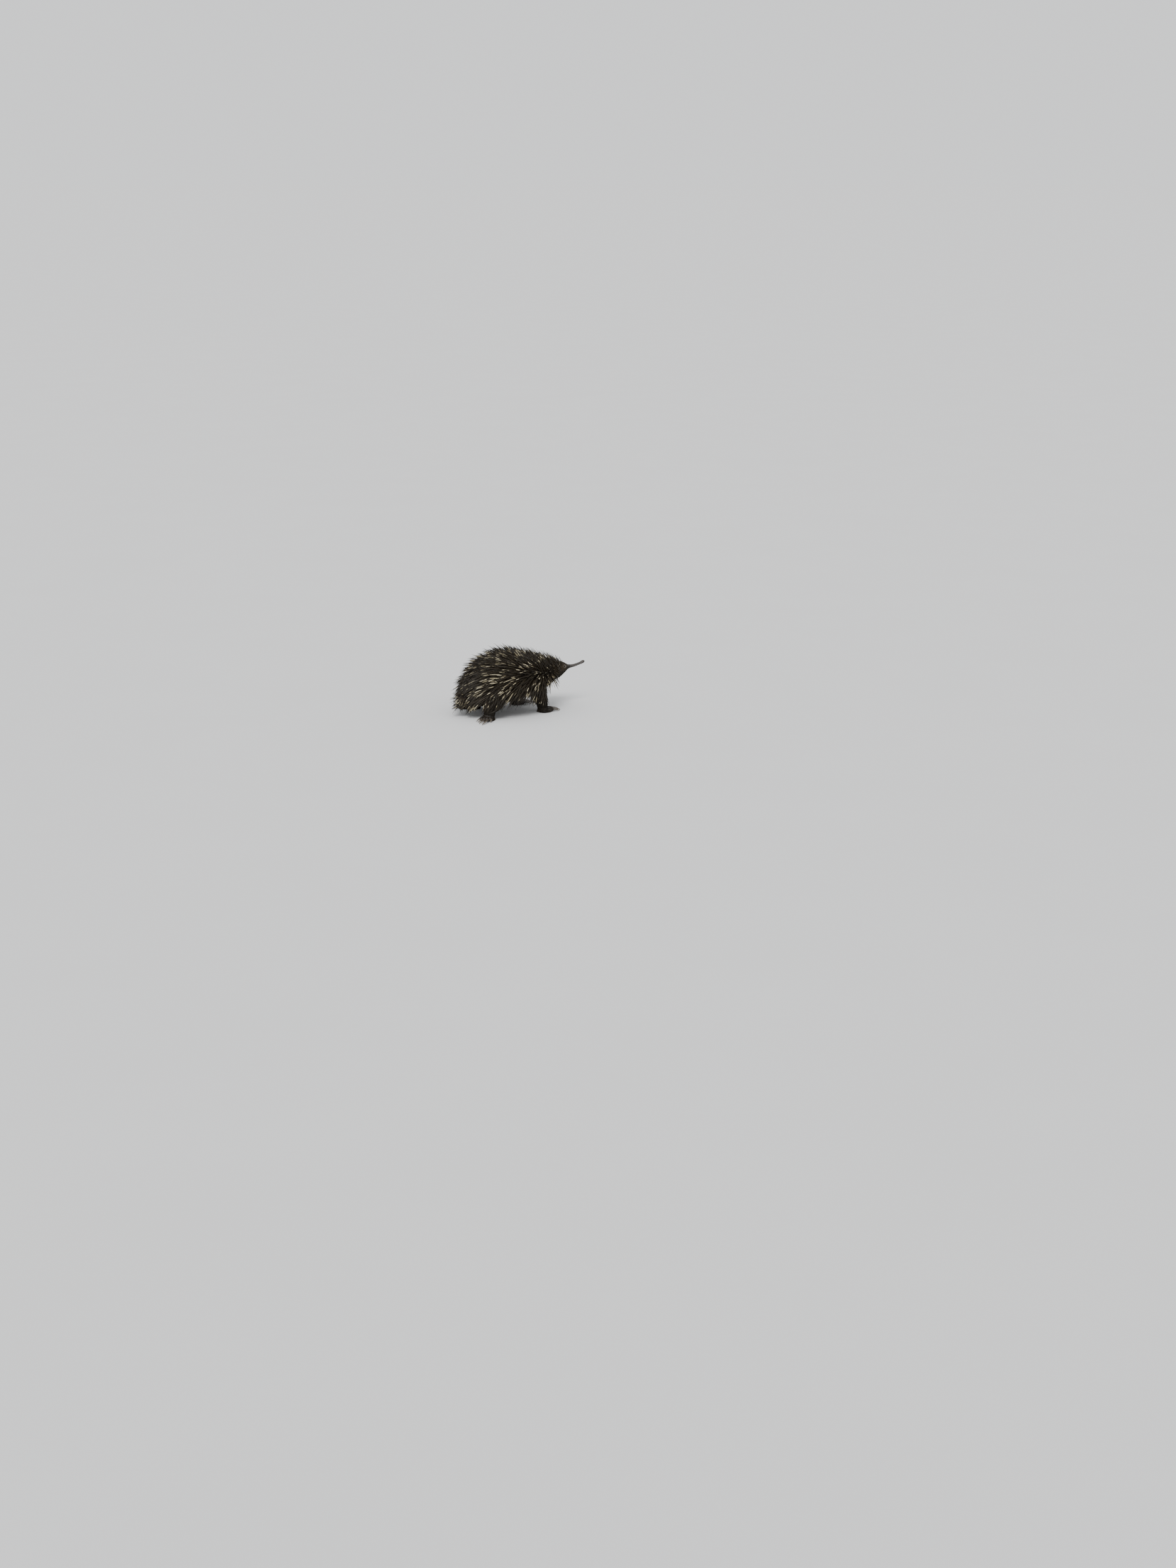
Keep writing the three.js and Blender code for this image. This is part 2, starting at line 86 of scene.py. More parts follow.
# Spines: length beyond the flesh of the solids, lift from its surface in degrees, and how far
# round from the top they grow, by station.
SPINE_LENGTH = ((0, 34), (1, 38), (2, 40), (3, 46), (5, 47), (6, 43), (7, 37), (8, 31), (9, 22), (9.6, 10))
SPINE_LIFT = ((0, 20), (1, 12), (2, 11), (3, 15), (4, 22), (6, 25), (7, 31), (8, 40), (9.6, 46))
SPINE_LOWEST = ((0, 118), (6, 108), (8, 96), (8.6, 62), (9.5, 40))
SPINE_RADIUS = ((0, 1.08), (6, 1.08), (8, 0.85), (9, 0.65), (9.6, 0.45))
SPINE_SPACING = ((0, 4.1), (7, 4.1), (8, 3.5), (9.6, 2.8))
LAST_SPINY_STATION = 9.55
# How much the spines sag, by how many degrees round from the top they stand.
SPINE_SAG = ((0, 0.28), (55, 0.3), (85, 0.6), (115, 1))
FUR_WISH = (-1, 0, -0.5)
# How much spines and fur of the back lean to its middle line, and from how far off in full.
MEDIAL = 0.22
MEDIAL_WIDTH = 12

# Fur: length, radius and lift by station, and the area of skin that each tuft covers.
FUR_LENGTH = ((0, 19), (6, 18), (8, 13), (9, 8), (9.7, 4.6), (10.4, 3.0), (11, 1.9), (11.4, 1.3))
FUR_RADIUS = ((0, 0.62), (6, 0.6), (8, 0.5), (9, 0.38), (10, 0.26), (11, 0.18), (11.4, 0.14))
FUR_LIFT = ((0, 24), (6, 24), (8, 20), (9, 14), (11, 8))
FUR_AREA = ((0, 3.4), (6, 3.2), (8, 1.9), (9, 0.95), (10, 0.5), (10.8, 0.5), (11.1, 1.0), (11.4, 3.0))
LAST_FURRY_STATION = 11.4
# How deep in a limb the roots of fur may lie.
FUR_BURIED = 2
BARE_EYE = {"ahead": 0.8, "long": 5.4, "high": 3.1}
BARE_EAR = {"ahead": 0, "long": 3.2, "high": 6.5}

# Limbs, tail, eyes and ears

SIGN = {"left": 1, "right": -1}
FORE = {"heading": -8, "length": 40, "width": 40, "height": 22, "ankle": 17, "knee": 24, "claw_bend": 0}
HIND = {"heading": 138, "length": 41, "width": 38, "height": 23, "ankle": 18, "knee": 27, "claw_bend": 0.3}
LIMBS = (
    ("fore", "right", (93, -55), FORE),
    ("fore", "left", (74, 60), FORE),
    ("hind", "right", (-82, -70), HIND),
    ("hind", "left", (-50, 74), HIND),
)
TOE = {"length": 19, "height": 12, "margin": 1.6, "back": 6, "bow": 6, "fan": 22, "clearance": 0.2}
# Length, width and place across the paw of each claw, from the first to the fifth.
FORE["claws"] = ((16, 8, -0.86), (22, 9, -0.45), (24, 9.5, 0), (22, 9, 0.45), (16, 8, 0.86))
HIND["claws"] = ((9, 7, -0.9), (36, 8, -0.5), (26, 7.5, -0.06), (14, 7, 0.38), (11, 6.5, 0.8))
# A paw's dome, and how far a claw starts inside its toe, where and how high it arches, and its form.
PAW_DOME = {"squareness": 0.8, "height": 0.72, "slope": 0.28}
CLAW = {"buried": 8, "arch_at": 0.55, "arch_height": 9, "tip_height": 1, "blunt": 0.35, "taper": 0.55}
# Points of a leg's path: x from the paw, y outwards and height, where y starts from the body's
# middle for the hip and from the paw for the leg.
FORE["hip"] = ((-18, 30, 92), (-20, 48, 74))
HIND["hip"] = ((32, 36, 88), (32, 58, 72))
FORE["leg"] = ((-20, 4, 50), (-11, 2, 29), (-7, 1, 13), (-6, 1, 4))
HIND["leg"] = ((22, -2, 47), (10, -3, 28), (6, -2, 13), (5, -2, 4))
TAIL_PATH = ((-88, 0, 46), (-106, 0, 40), (-120, 0, 32), (-129, 0, 27))
TAIL_RADII = (0, 22, 14, 0)
EYE = {"radius": 4.4, "station": 9.55, "angle": 62, "proud": 1.5}
EAR = {"height": 15, "width": 7, "station": 8.75, "angle": 68}

# Curves and forms


def profile(pairs, x):
    """The values at x of a line through (x, value) pairs."""
    knots, values = zip(*pairs)
    return np.interp(x, knots, values)


def unit(vectors):
    return vectors / np.maximum(np.linalg.norm(vectors, axis=-1, keepdims=True), 1e-9)


def dot(a, b):
    return np.sum(a * b, axis=-1)


class Rail:
    """A centripetal Catmull-Rom curve through points, as the solids use."""

    def __init__(self, points):
        points = np.array(points, float)
        ends = (2 * points[0] - points[1], 2 * points[-1] - points[-2])
        all_points = np.vstack([ends[0], points, ends[1]])
        gaps = np.linalg.norm(np.diff(all_points, axis=0), axis=1) ** 0.5
        middle = np.where(gaps[1:-1] < 1e-4, 1, gaps[1:-1])
        before = np.where(gaps[:-2] < 1e-4, middle, gaps[:-2])[:, None]
        after = np.where(gaps[2:] < 1e-4, middle, gaps[2:])[:, None]
        middle = middle[:, None]
        p0, p1, p2, p3 = (all_points[i : len(all_points) - 3 + i] for i in range(4))
        leave = ((p1 - p0) / before - (p2 - p0) / (before + middle) + (p2 - p1) / middle) * middle
        arrive = ((p2 - p1) / middle - (p3 - p1) / (middle + after) + (p3 - p2) / after) * middle
        square = 3 * (p2 - p1) - 2 * leave - arrive
        cube = 2 * (p1 - p2) + leave + arrive
        self.terms = np.stack([p1, leave, square, cube])
        self.spans = len(points) - 1

    def __call__(self, t):
        place = np.clip(t, 0, 1) * self.spans
        span = np.minimum(place.astype(int), self.spans - 1)
        w = (place - span)[..., None]
        a, b, c, d = self.terms[:, span]
        return a + w * (b + w * (c + w * d))


TOP_RAIL = Rail([(x, 0, z) for (x, z), _, _ in STATIONS.values()])
BOTTOM_RAIL = Rail([(x, 0, z) for _, (x, z), _ in STATIONS.values()])
WIDTH_RAIL = Rail([(x, half, 0) for (x, _), _, half in STATIONS.values()])


def trunk_point(t, angle):
    """The trunk of the solids, where angle 0 is the top and a quarter turn the left side."""
    top, bottom = TOP_RAIL(t), BOTTOM_RAIL(t)
    half = np.maximum(0, WIDTH_RAIL(t)[..., 1])
    middle = bottom + (top - bottom) * WIDEST_LEVEL
    up, across = np.cos(angle), np.sin(angle)
    squareness = np.where(up < 0, BELLY_SQUARENESS, 1)
    end = np.where((up < 0)[..., None], bottom, top)
    point = middle + (end - middle) * (np.abs(up) ** squareness)[..., None]
    point[..., 1] = np.sign(across) * half * np.abs(across) ** squareness
    return point


def normals_of(form, t, angle):
    """Unit vectors out of a form's surface."""
    step = 1e-3
    t = np.clip(t, 2 * step, 1 - 2 * step)
    along = form(t + step, angle) - form(t - step, angle)
    around = form(t, angle + step) - form(t, angle - step)
    return unit(np.cross(along, around))


def trunk_skin(t, angle):
    depth = profile(SKIN_DEPTH, t * LAST_STATION)
    return trunk_point(t, angle) - normals_of(trunk_point, t, angle) * depth[..., None]


def limb_form(path, radii):
    """The skin round a path, within the radius that the solids have at each of its points."""
    curve = Rail(path)
    sizes = Rail([(i, radius, 0) for i, radius in enumerate(radii)])

    def form(t, angle):
        step = 1e-3
        forward = unit(curve(np.minimum(t + step, 1)) - curve(np.maximum(t - step, 0)))
        side = unit(np.cross(np.array([0.0, 1.0, 0.0]), forward))
        over = np.cross(side, forward)
        radius = np.maximum(0, sizes(t)[..., 1] - LIMB_DEPTH)[..., None]
        return curve(t) + radius * (side * np.cos(angle)[..., None] + over * np.sin(angle)[..., None])

    return form


def leg_path(side, paw, kind):
    hip = [(paw[0] + x, SIGN[side] * y, z) for x, y, z in kind["hip"]]
    return hip + [(paw[0] + x, paw[1] + SIGN[side] * y, z) for x, y, z in kind["leg"]]


def paw_matrix(side, paw, kind):
    """Turns and moves the paw's own frame, in which it points along +X, to its place."""
    heading = math.radians(SIGN[side] * kind["heading"])
    c, s = math.cos(heading), math.sin(heading)
    return np.array([[c, -s, 0], [s, c, 0], [0, 0, 1]]), np.array([*paw, 0])


def paw_form(side, paw, kind):
    """A low dome with a flat sole, higher at the heel."""
    turn, place = paw_matrix(side, paw, kind)
    long, wide = kind["length"] / 2 - PAW_DEPTH, kind["width"] / 2 - PAW_DEPTH
    high = kind["height"] - PAW_DEPTH

    def form(t, angle):
        lie = t * np.pi
        along = -np.cos(lie)
        size = np.sin(lie) ** PAW_DOME["squareness"]
        rise = PAW_DOME["height"] - PAW_DOME["slope"] * along
        up = np.maximum(0, np.cos(angle))
        point = np.stack([along * long, np.sin(angle) * size * wide, up * size * high * rise], axis=-1)
        return point @ turn.T + place

    return form


def digits_of(side, kind):
    return [(length, width, across * SIGN[side]) for length, width, across in kind["claws"]]


def digit_axes(kind, across):
    """Where a digit starts in the paw's own frame, and the ways ahead and aside there."""
    x = kind["length"] / 2 - TOE["back"] - TOE["bow"] * across**2
    fan = math.radians(across * TOE["fan"])
    root = np.array([x, across * kind["width"] / 2.5, 7.0])
    ahead = np.array([math.cos(fan), math.sin(fan), 0])
    return root, ahead, np.array([-ahead[1], ahead[0], 0])


def toe_form(side, paw, kind, digit):
    """A round toe behind a claw."""
    _, width, across = digit
    turn, place = paw_matrix(side, paw, kind)
    centre, ahead, aside = digit_axes(kind, across)
    centre[2] = TOE["height"] / 2 + TOE["clearance"]
    long, wide, high = np.array([TOE["length"], width + TOE["margin"], TOE["height"]]) / 2 - TOE_DEPTH

    def form(t, angle):
        lie = t * np.pi
        across_part = aside * (np.sin(angle) * np.sin(lie) * wide)[..., None]
        point = centre - ahead * (np.cos(lie) * long)[..., None] + across_part
        point[..., 2] += np.cos(angle) * np.sin(lie) * high
        return point @ turn.T + place

    return form


def claw_form(kind, size, bend):
    """A claw that leaves its toe, arches over and comes down to the floor."""
    length, width, across = size
    root, aim, sideways = digit_axes(kind, across)
    reach = length + CLAW["buried"]
    tip = root + aim * reach + sideways * bend * length
    tip[2] = CLAW["tip_height"]
    middle = root + aim * reach * CLAW["arch_at"]
    middle[2] = CLAW["arch_height"]

    def form(t, angle):
        w = t[..., None]
        centre = (1 - w) ** 2 * root + 2 * w * (1 - w) * middle + w**2 * tip
        forward = unit(2 * (1 - w) * (middle - root) + 2 * w * (tip - middle))
        side = unit(np.cross(np.array([0.0, 0.0, 1.0]), forward))
        over = np.cross(forward, side)
        thick = (np.sin(np.pi * t) ** CLAW["blunt"] * (1 - CLAW["taper"] * t))[..., None]
        across_part = side * width / 2 * thick * np.cos(angle)[..., None]
        return centre + across_part + over * width / 3 * thick * np.sin(angle)[..., None]

    return form


def stand_on(station, degrees, depth):
    """A point in the surface of the trunk, and the axes ahead, up and out there."""
    t, angle = np.array([station / LAST_STATION]), np.radians([degrees])
    out = normals_of(trunk_point, t, angle)[0]
    point = trunk_point(t, angle)[0] - out * depth
    ahead = unit(np.cross(np.array([0.0, 0.0, 1.0]), out))
    return point, ahead, np.cross(out, ahead), out


# From the drawing frame to the part's frame, found at an eye that both have.
eye_centre = stand_on(EYE["station"], EYE["angle"], EYE["radius"] - EYE["proud"])[0]
eye_low, eye_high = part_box("eye_left")
SHIFT = (np.array(eye_low) + np.array(eye_high)) / 2 * 1000 - eye_centre


def to_part(points):
    return (points + SHIFT) / 1000


# Meshes


def filled_mesh(name, points, corners, sizes):
    """A smooth mesh from points in the drawing frame, the corners of its faces and their sizes."""
    mesh = bpy.data.meshes.new(name)
    mesh.vertices.add(len(points))
    mesh.vertices.foreach_set("co", to_part(points).astype(np.float32).ravel())
    mesh.loops.add(len(corners))
    mesh.loops.foreach_set("vertex_index", corners.astype(np.int32))
    mesh.polygons.add(len(sizes))
    mesh.polygons.foreach_set("loop_start", (np.cumsum(sizes) - sizes).astype(np.int32))
    mesh.polygons.foreach_set("use_smooth", np.full(len(sizes), True))
    mesh.update(calc_edges=True)
    return mesh


def placed(name, data):
    """A new object of the scene, for a mesh, light or camera."""
    obj = bpy.data.objects.new(name, data)
    bpy.context.scene.collection.objects.link(obj)
    return obj


def add_fact(mesh, name, values):
    """Gives each point of a mesh a value that its look reads by name."""
    attribute = mesh.attributes.new(name, "FLOAT", "POINT")
    attribute.data.foreach_set("value", values.astype(np.float32))


def make_mesh(name, points, faces):
    """An object from points in the drawing frame and a list of faces."""
    sizes = np.array([len(face) for face in faces])
    mesh = filled_mesh(name, points, np.concatenate(faces), sizes)
    mesh.validate()
    return placed(name, mesh)


def form_mesh(form, sides, rings):
    """Points and faces of a closed skin over a form, facing out."""
    t = np.linspace(0, 1, rings + 1)[1:-1]
    angle = np.arange(sides) * 2 * np.pi / sides
    tt, aa = np.meshgrid(t, angle, indexing="ij")
    points = np.vstack([form(tt, aa).reshape(-1, 3), form(np.array([0.0, 1.0]), np.zeros(2))])
    end, first = (rings - 2) * sides, (rings - 1) * sides
    pairs = [(i, (i + 1) % sides) for i in range(sides)]
    faces = [(k + i, k + sides + i, k + sides + j, k + j) for k in range(0, end, sides) for i, j in pairs]
    for i, j in pairs:
        faces += [(first, i, j), (first + 1, end + j, end + i)]
    return points, outward(points, faces)


def outward(points, faces):
    """The same faces, turned round if they point inwards."""
    corners = [(face[0], face[i], face[i + 1]) for face in faces for i in range(1, len(face) - 1)]
    a, b, c = np.moveaxis(points[np.array(corners)], 1, 0)
    return faces if dot(a, np.cross(b, c)).sum() > 0 else [face[::-1] for face in faces]


def form_object(name, form, sides, rings):
    return make_mesh(name, *form_mesh(form, sides, rings))


def applied(obj):
    """Replaces an object's mesh by what its modifiers make of it."""
    evaluated = obj.evaluated_get(bpy.context.evaluated_depsgraph_get())
    mesh = bpy.data.meshes.new_from_object(evaluated)
    obj.modifiers.clear()
    old, obj.data = obj.data, mesh
    bpy.data.meshes.remove(old)
    mesh.name = obj.name


# Skin

VOXEL = 0.0019
HEAD_FROM = 148
FACE_FROM = 166
BEAK_TIP_FROM = 230
# Where the bare skin of the beak starts, and over how many millimetres.
BARE_FROM = 192
BARE_OVER = 12
SOLE_LEVEL = 0.2

LEGS = {}
PAWS = {}
TOES = {}
for limb_name, side, paw, kind in LIMBS:
    radii = (0, kind["knee"], kind["knee"] * 0.92, kind["ankle"], kind["ankle"] * 0.85, 0)
    path = leg_path(side, paw, kind)
    LEGS[limb_name, side] = {"path": path, "radii": radii, "form": limb_form(path, radii)}
    PAWS[limb_name, side] = paw_form(side, paw, kind)
    TOES[limb_name, side] = [toe_form(side, paw, kind, digit) for digit in digits_of(side, kind)]
TAIL_FORM = limb_form(TAIL_PATH, TAIL_RADII)


def subdivide_ahead_of(obj, x):
    """Halves the edges of the faces whose middle lies ahead of x in the drawing frame."""
    limit = (x + SHIFT[0]) / 1000
    bm = bmesh.new()
    bm.from_mesh(obj.data)
    faces = [f for f in bm.faces if f.calc_center_median().x > limit]
    edges = list({e for f in faces for e in f.edges})
    bmesh.ops.subdivide_edges(bm, edges=edges, cuts=1, use_grid_fill=True, smooth=0.0)
    bmesh.ops.triangulate(bm, faces=[f for f in bm.faces if len(f.verts) > 4])
    bm.to_mesh(obj.data)
    bm.free()


def smoothed(obj, repeat):
    modifier = obj.modifiers.new("Smooth", "SMOOTH")
    modifier.factor = 0.5
    modifier.iterations = repeat
    applied(obj)


# The face, in millimetres: the eye's opening with its rim and brow, the ear's rim and slit, the
# line of the mouth with its lips, and the nostrils. Reach is how far out a point lies in an oval.
LID = {"long": 1.4, "high": 0.9, "open": 1.6, "edge": 0.8, "depth": 4.5}
LID_RIM = {"at": 3.2, "rise": 2.5, "inner": 1.5, "outer": 2.4}
BROW = {"up": 5.5, "width": 2.2, "length": 6, "rise": 0.9}
EAR_RIM = {"at": 1.05, "rise": 1.9, "width": 0.36, "even": 0.6, "behind": 0.4}
EAR_SLIT = {"open": 0.3, "edge": 0.5, "depth": 5.0}
FACE_DEPTH = 9
BEAK_TIP = np.array([246.0, 0.0, 108.8])
MOUTH = {"tilt": 10, "under": 1.4, "length": 13, "width": 0.45, "depth": 0.7}
LIP = {"at": 1.1, "width": 0.5, "rise": 0.25}
NOSTRIL = {"back": 4.5, "aside": 2.4, "up": 3.2, "depth": 1.3, "squeeze": (0.7, 1.1, 1)}
# The paler patch round an eye.
PATCH = {"from_eye": (-2, 0, -1), "squeeze": (0.8, 1, 1.1), "size": 8.5}


def bell(x, width):
    return np.exp(-((x / width) ** 2))


def pit(reach, form):
    """The depth of a pit at a reach from its middle."""
    return form["depth"] * (1 - np.clip((reach - form["open"]) / form["edge"], 0, 1))


def eye_patch(points):
    """How much each point belongs to the paler patch round an eye, from 0 to 1."""
    value = np.zeros(len(points))
    for sign in (-1, 1):
        centre = stand_on(EYE["station"], sign * EYE["angle"], 0)[0] + PATCH["from_eye"]
        distance = np.linalg.norm((points - centre) * PATCH["squeeze"], axis=1)
        value = np.maximum(value, bell(distance, PATCH["size"]))
    return value


def seen_from(points, organ, sign):
    """How far ahead, above and outside of an eye or ear points lie, and the axis out of it."""
    centre, ahead, up, out = stand_on(organ["station"], sign * organ["angle"], 0)
    local = points - centre
    return local @ ahead, local @ up, local @ out, out


def carve_head(points):
    """Lids, ear slits, nostrils and the line of the mouth, as moves of the skin's points."""
    moved = points.copy()
    for sign in (-1, 1):
        a, u, o, out = seen_from(points, EYE, sign)
        reach = np.hypot(a / LID["long"], u / LID["high"])
        width = np.where(reach < LID_RIM["at"], LID_RIM["inner"], LID_RIM["outer"])
        rim = LID_RIM["rise"] * bell(reach - LID_RIM["at"], width)
        brow = BROW["rise"] * bell(u - BROW["up"], BROW["width"]) * bell(a, BROW["length"])
        moved += out * ((np.abs(o) < FACE_DEPTH) * (rim + brow - pit(reach, LID)))[:, None]

        a, u, o, out = seen_from(points, EAR, sign)
        reach = np.hypot(a / (EAR["width"] / 2), u / (EAR["height"] / 2))
        rim = EAR_RIM["rise"] * bell(reach - EAR_RIM["at"], EAR_RIM["width"])
        rim *= EAR_RIM["even"] - EAR_RIM["behind"] * np.tanh(a)
        moved += out * ((np.abs(o) < FACE_DEPTH) * (rim - pit(reach, EAR_SLIT)))[:, None]

    local = points - BEAK_TIP
    tilt = math.radians(MOUTH["tilt"])
    level = local[:, 2] * math.cos(tilt) - local[:, 0] * math.sin(tilt) + MOUTH["under"]
    groove = MOUTH["depth"] * bell(level, MOUTH["width"])
    lip = LIP["rise"] * bell(np.abs(level) - LIP["at"], LIP["width"])
    moved[:, 1] -= np.sign(points[:, 1]) * (groove - lip) * (local[:, 0] > -MOUTH["length"])
    for sign in (-1, 1):
        nostril = BEAK_TIP + np.array([-NOSTRIL["back"], sign * NOSTRIL["aside"], NOSTRIL["up"]])
        distance = np.linalg.norm((points - nostril) * NOSTRIL["squeeze"], axis=1)
        moved[:, 2] -= NOSTRIL["depth"] * bell(distance, 1)
    return moved


def make_skin():
    shapes = [form_object("trunk", trunk_skin, 96, 180), form_object("tail_core", TAIL_FORM, 32, 32)]
    shapes += [form_object(f"leg_{i}", leg["form"], 32, 40) for i, leg in enumerate(LEGS.values())]
    shapes += [form_object(f"paw_{i}", form, 40, 32) for i, form in enumerate(PAWS.values())]
    toes = [form for forms in TOES.values() for form in forms]
    shapes += [form_object(f"toe_{i}", form, 20, 16) for i, form in enumerate(toes)]
    with bpy.context.temp_override(active_object=shapes[0], selected_editable_objects=shapes):
        bpy.ops.object.join()
    skin = shapes[0]
    skin.name = "skin"
    remesh = skin.modifiers.new("Remesh", "REMESH")
    remesh.mode = "VOXEL"
    remesh.voxel_size = VOXEL
    applied(skin)
    smoothed(skin, 4)
    for start in (HEAD_FROM, FACE_FROM, BEAK_TIP_FROM):
        subdivide_ahead_of(skin, start)
    smoothed(skin, 2)
    mesh = skin.data
    co = np.empty(len(mesh.vertices) * 3, np.float32)
    mesh.vertices.foreach_get("co", co)
    points = carve_head(co.reshape(-1, 3).astype(float) * 1000 - SHIFT)
    points[:, 2] = np.maximum(points[:, 2], SOLE_LEVEL)
    mesh.vertices.foreach_set("co", to_part(points).astype(np.float32).ravel())
    mesh.update()
    mesh.polygons.foreach_set("use_smooth", np.full(len(mesh.polygons), True))
    add_fact(mesh, "bare", np.clip((points[:, 0] - BARE_FROM) / BARE_OVER, 0, 1))
    add_fact(mesh, "light", eye_patch(points))
    return skin


skin = make_skin()

# Places for spines and fur


def scatter(form, area_at, rows=240, columns=160, low=0.0, high=1.0):
    """Random places on a form, one for each area_at(t) square millimetres."""
    t = np.linspace(low, high, rows + 1)
    angle = np.linspace(-np.pi, np.pi, columns + 1)
    tt, aa = np.meshgrid(t, angle, indexing="ij")
    grid = form(tt, aa)
    across, along = grid[:-1, 1:] - grid[:-1, :-1], grid[1:, :-1] - grid[:-1, :-1]
    area = np.linalg.norm(np.cross(across, along), axis=-1)
    expected = area / area_at((t[:-1, None] + t[1:, None]) / 2)
    count = rng.poisson(expected.ravel())
    cell = np.repeat(np.arange(expected.size), count)
    i, j = np.divmod(cell, columns)
    places_t = t[i] + rng.random(len(cell)) * (t[1] - t[0])
    places_a = angle[j] + rng.random(len(cell)) * (angle[1] - angle[0])
    return places_t, places_a


def thinned(points, spacing):
    """Which of the points to keep so that no two are nearer than their spacing."""
    cell = float(np.max(spacing))
    grid, kept = {}, []
    keys = np.floor(points / cell).astype(int)
    for i, (key, point) in enumerate(zip(map(tuple, keys), points)):
        near = (
            j
            for dx in (-1, 0, 1)
            for dy in (-1, 0, 1)
            for dz in (-1, 0, 1)
            for j in grid.get((key[0] + dx, key[1] + dy, key[2] + dz), ())
        )
        if all(np.sum((points[j] - point) ** 2) >= spacing[i] ** 2 for j in near):
            grid.setdefault(key, []).append(i)
            kept.append(i)
    return np.array(kept)


SPHERES_IN_A_LIMB = 16


def limb_spheres(path, radii):
    """Spheres that fill a limb's skin, as centres and radii."""
    t = np.linspace(0, 1, SPHERES_IN_A_LIMB)
    sizes = Rail([(i, radius, 0) for i, radius in enumerate(radii)])(t)[:, 1] - LIMB_DEPTH
    return Rail(path)(t), np.maximum(sizes, 0)


LEG_SPHERES = [limb_spheres(leg["path"], leg["radii"]) for leg in LEGS.values()]
ALL_SPHERES = [np.concatenate(part) for part in zip(*LEG_SPHERES, limb_spheres(TAIL_PATH, TAIL_RADII))]


def depth_in(points, centres, radii):
    """How far points lie inside any of the spheres, negative outside."""
    deepest = np.full(len(points), -1e9)
    for centre, radius in zip(centres, radii):
        deepest = np.maximum(deepest, radius - np.linalg.norm(points - centre, axis=1))
    return deepest


trunk_grid = np.meshgrid(np.linspace(0.01, 0.99, 160), np.linspace(-np.pi, np.pi, 120))
TRUNK_PLACES = [values.ravel() for values in trunk_grid]
TRUNK_SAMPLES = trunk_skin(*TRUNK_PLACES)
TRUNK_NORMALS = normals_of(trunk_skin, *TRUNK_PLACES)
trunk_tree = kdtree.KDTree(len(TRUNK_SAMPLES))
for index, sample in enumerate(TRUNK_SAMPLES):
    trunk_tree.insert(sample, index)
trunk_tree.balance()


def depth_in_trunk(points):
    nearest = np.array([trunk_tree.find(point)[1] for point in points])
    return -dot(points - TRUNK_SAMPLES[nearest], TRUNK_NORMALS[nearest])


# The least share of a wish along the surface that spines and fur still follow in full.
LEAST_LAID = 0.35


def laid(normals, points, wish):
    """The wish as it runs along the surface, shorter than 1 where it mostly points in or out."""
    wishes = np.array(np.broadcast_to(np.array(wish, float), (len(points), 3)))
    wishes[:, 1] -= np.tanh(points[:, 1] / MEDIAL_WIDTH) * MEDIAL * np.maximum(0, normals[:, 2])
    flat = wishes - normals * dot(wishes, normals)[:, None]
    flat /= np.linalg.norm(wishes, axis=1)[:, None]
    return flat / np.maximum(LEAST_LAID, np.linalg.norm(flat, axis=1))[:, None]


def raised(flat, normals, lift):
    lift = np.radians(lift)[:, None]
    return unit(flat * np.cos(lift) + normals * np.sin(lift))


def spread(count, share):
    return 1 + (rng.random(count) * 2 - 1) * share


WAVES = {"count": 24, "lengths": (1.2, 2.6), "phases": (0, 6.3)}
# Sizes in millimetres of the clumps that spots, cream bands and tufts come in, and their seeds.
CLUMPS = {"spots": (11, 5), "bands": (33, 7), "tufts": (22, 9)}


def clumps(points, kind):
    """A smooth random value from 0 to 1 for each point, alike within about the size of a clump."""
    size, seed = CLUMPS[kind]
    waves = np.random.default_rng(seed)
    total = np.zeros(len(points))
    for _ in range(WAVES["count"]):
        direction = unit(waves.normal(size=3))
        frequency = 2 * np.pi / (size * waves.uniform(*WAVES["lengths"]))
        total += np.sin(points @ direction * frequency + waves.uniform(*WAVES["phases"]))
    rank = np.argsort(np.argsort(total))
    return rank / max(1, len(points) - 1)


# Coat pieces

UV_PATCH = 0.003
# How far spines stay from the skin of the limbs and from the floor.
CLEARANCE = {"limb": 1.5, "floor": 0.6}


def bend_clear(lines, radius):
    """Pushes the points of spine lines out of the legs and tail, and off the floor."""
    weight = np.tile(np.linspace(0, 1, lines.shape[1]) ** 0.5, len(lines))
    flat = lines.reshape(-1, 3)
    for centre, size in zip(*ALL_SPHERES):
        away = flat - centre
        distance = np.linalg.norm(away, axis=1)
        push = np.maximum(0, size + CLEARANCE["limb"] - distance) * weight
        flat += away / np.maximum(distance, 1e-6)[:, None] * push[:, None]
    lines = flat.reshape(lines.shape)
    lines[..., 2] = np.maximum(lines[..., 2], radius[:, None] + CLEARANCE["floor"])
    return lines


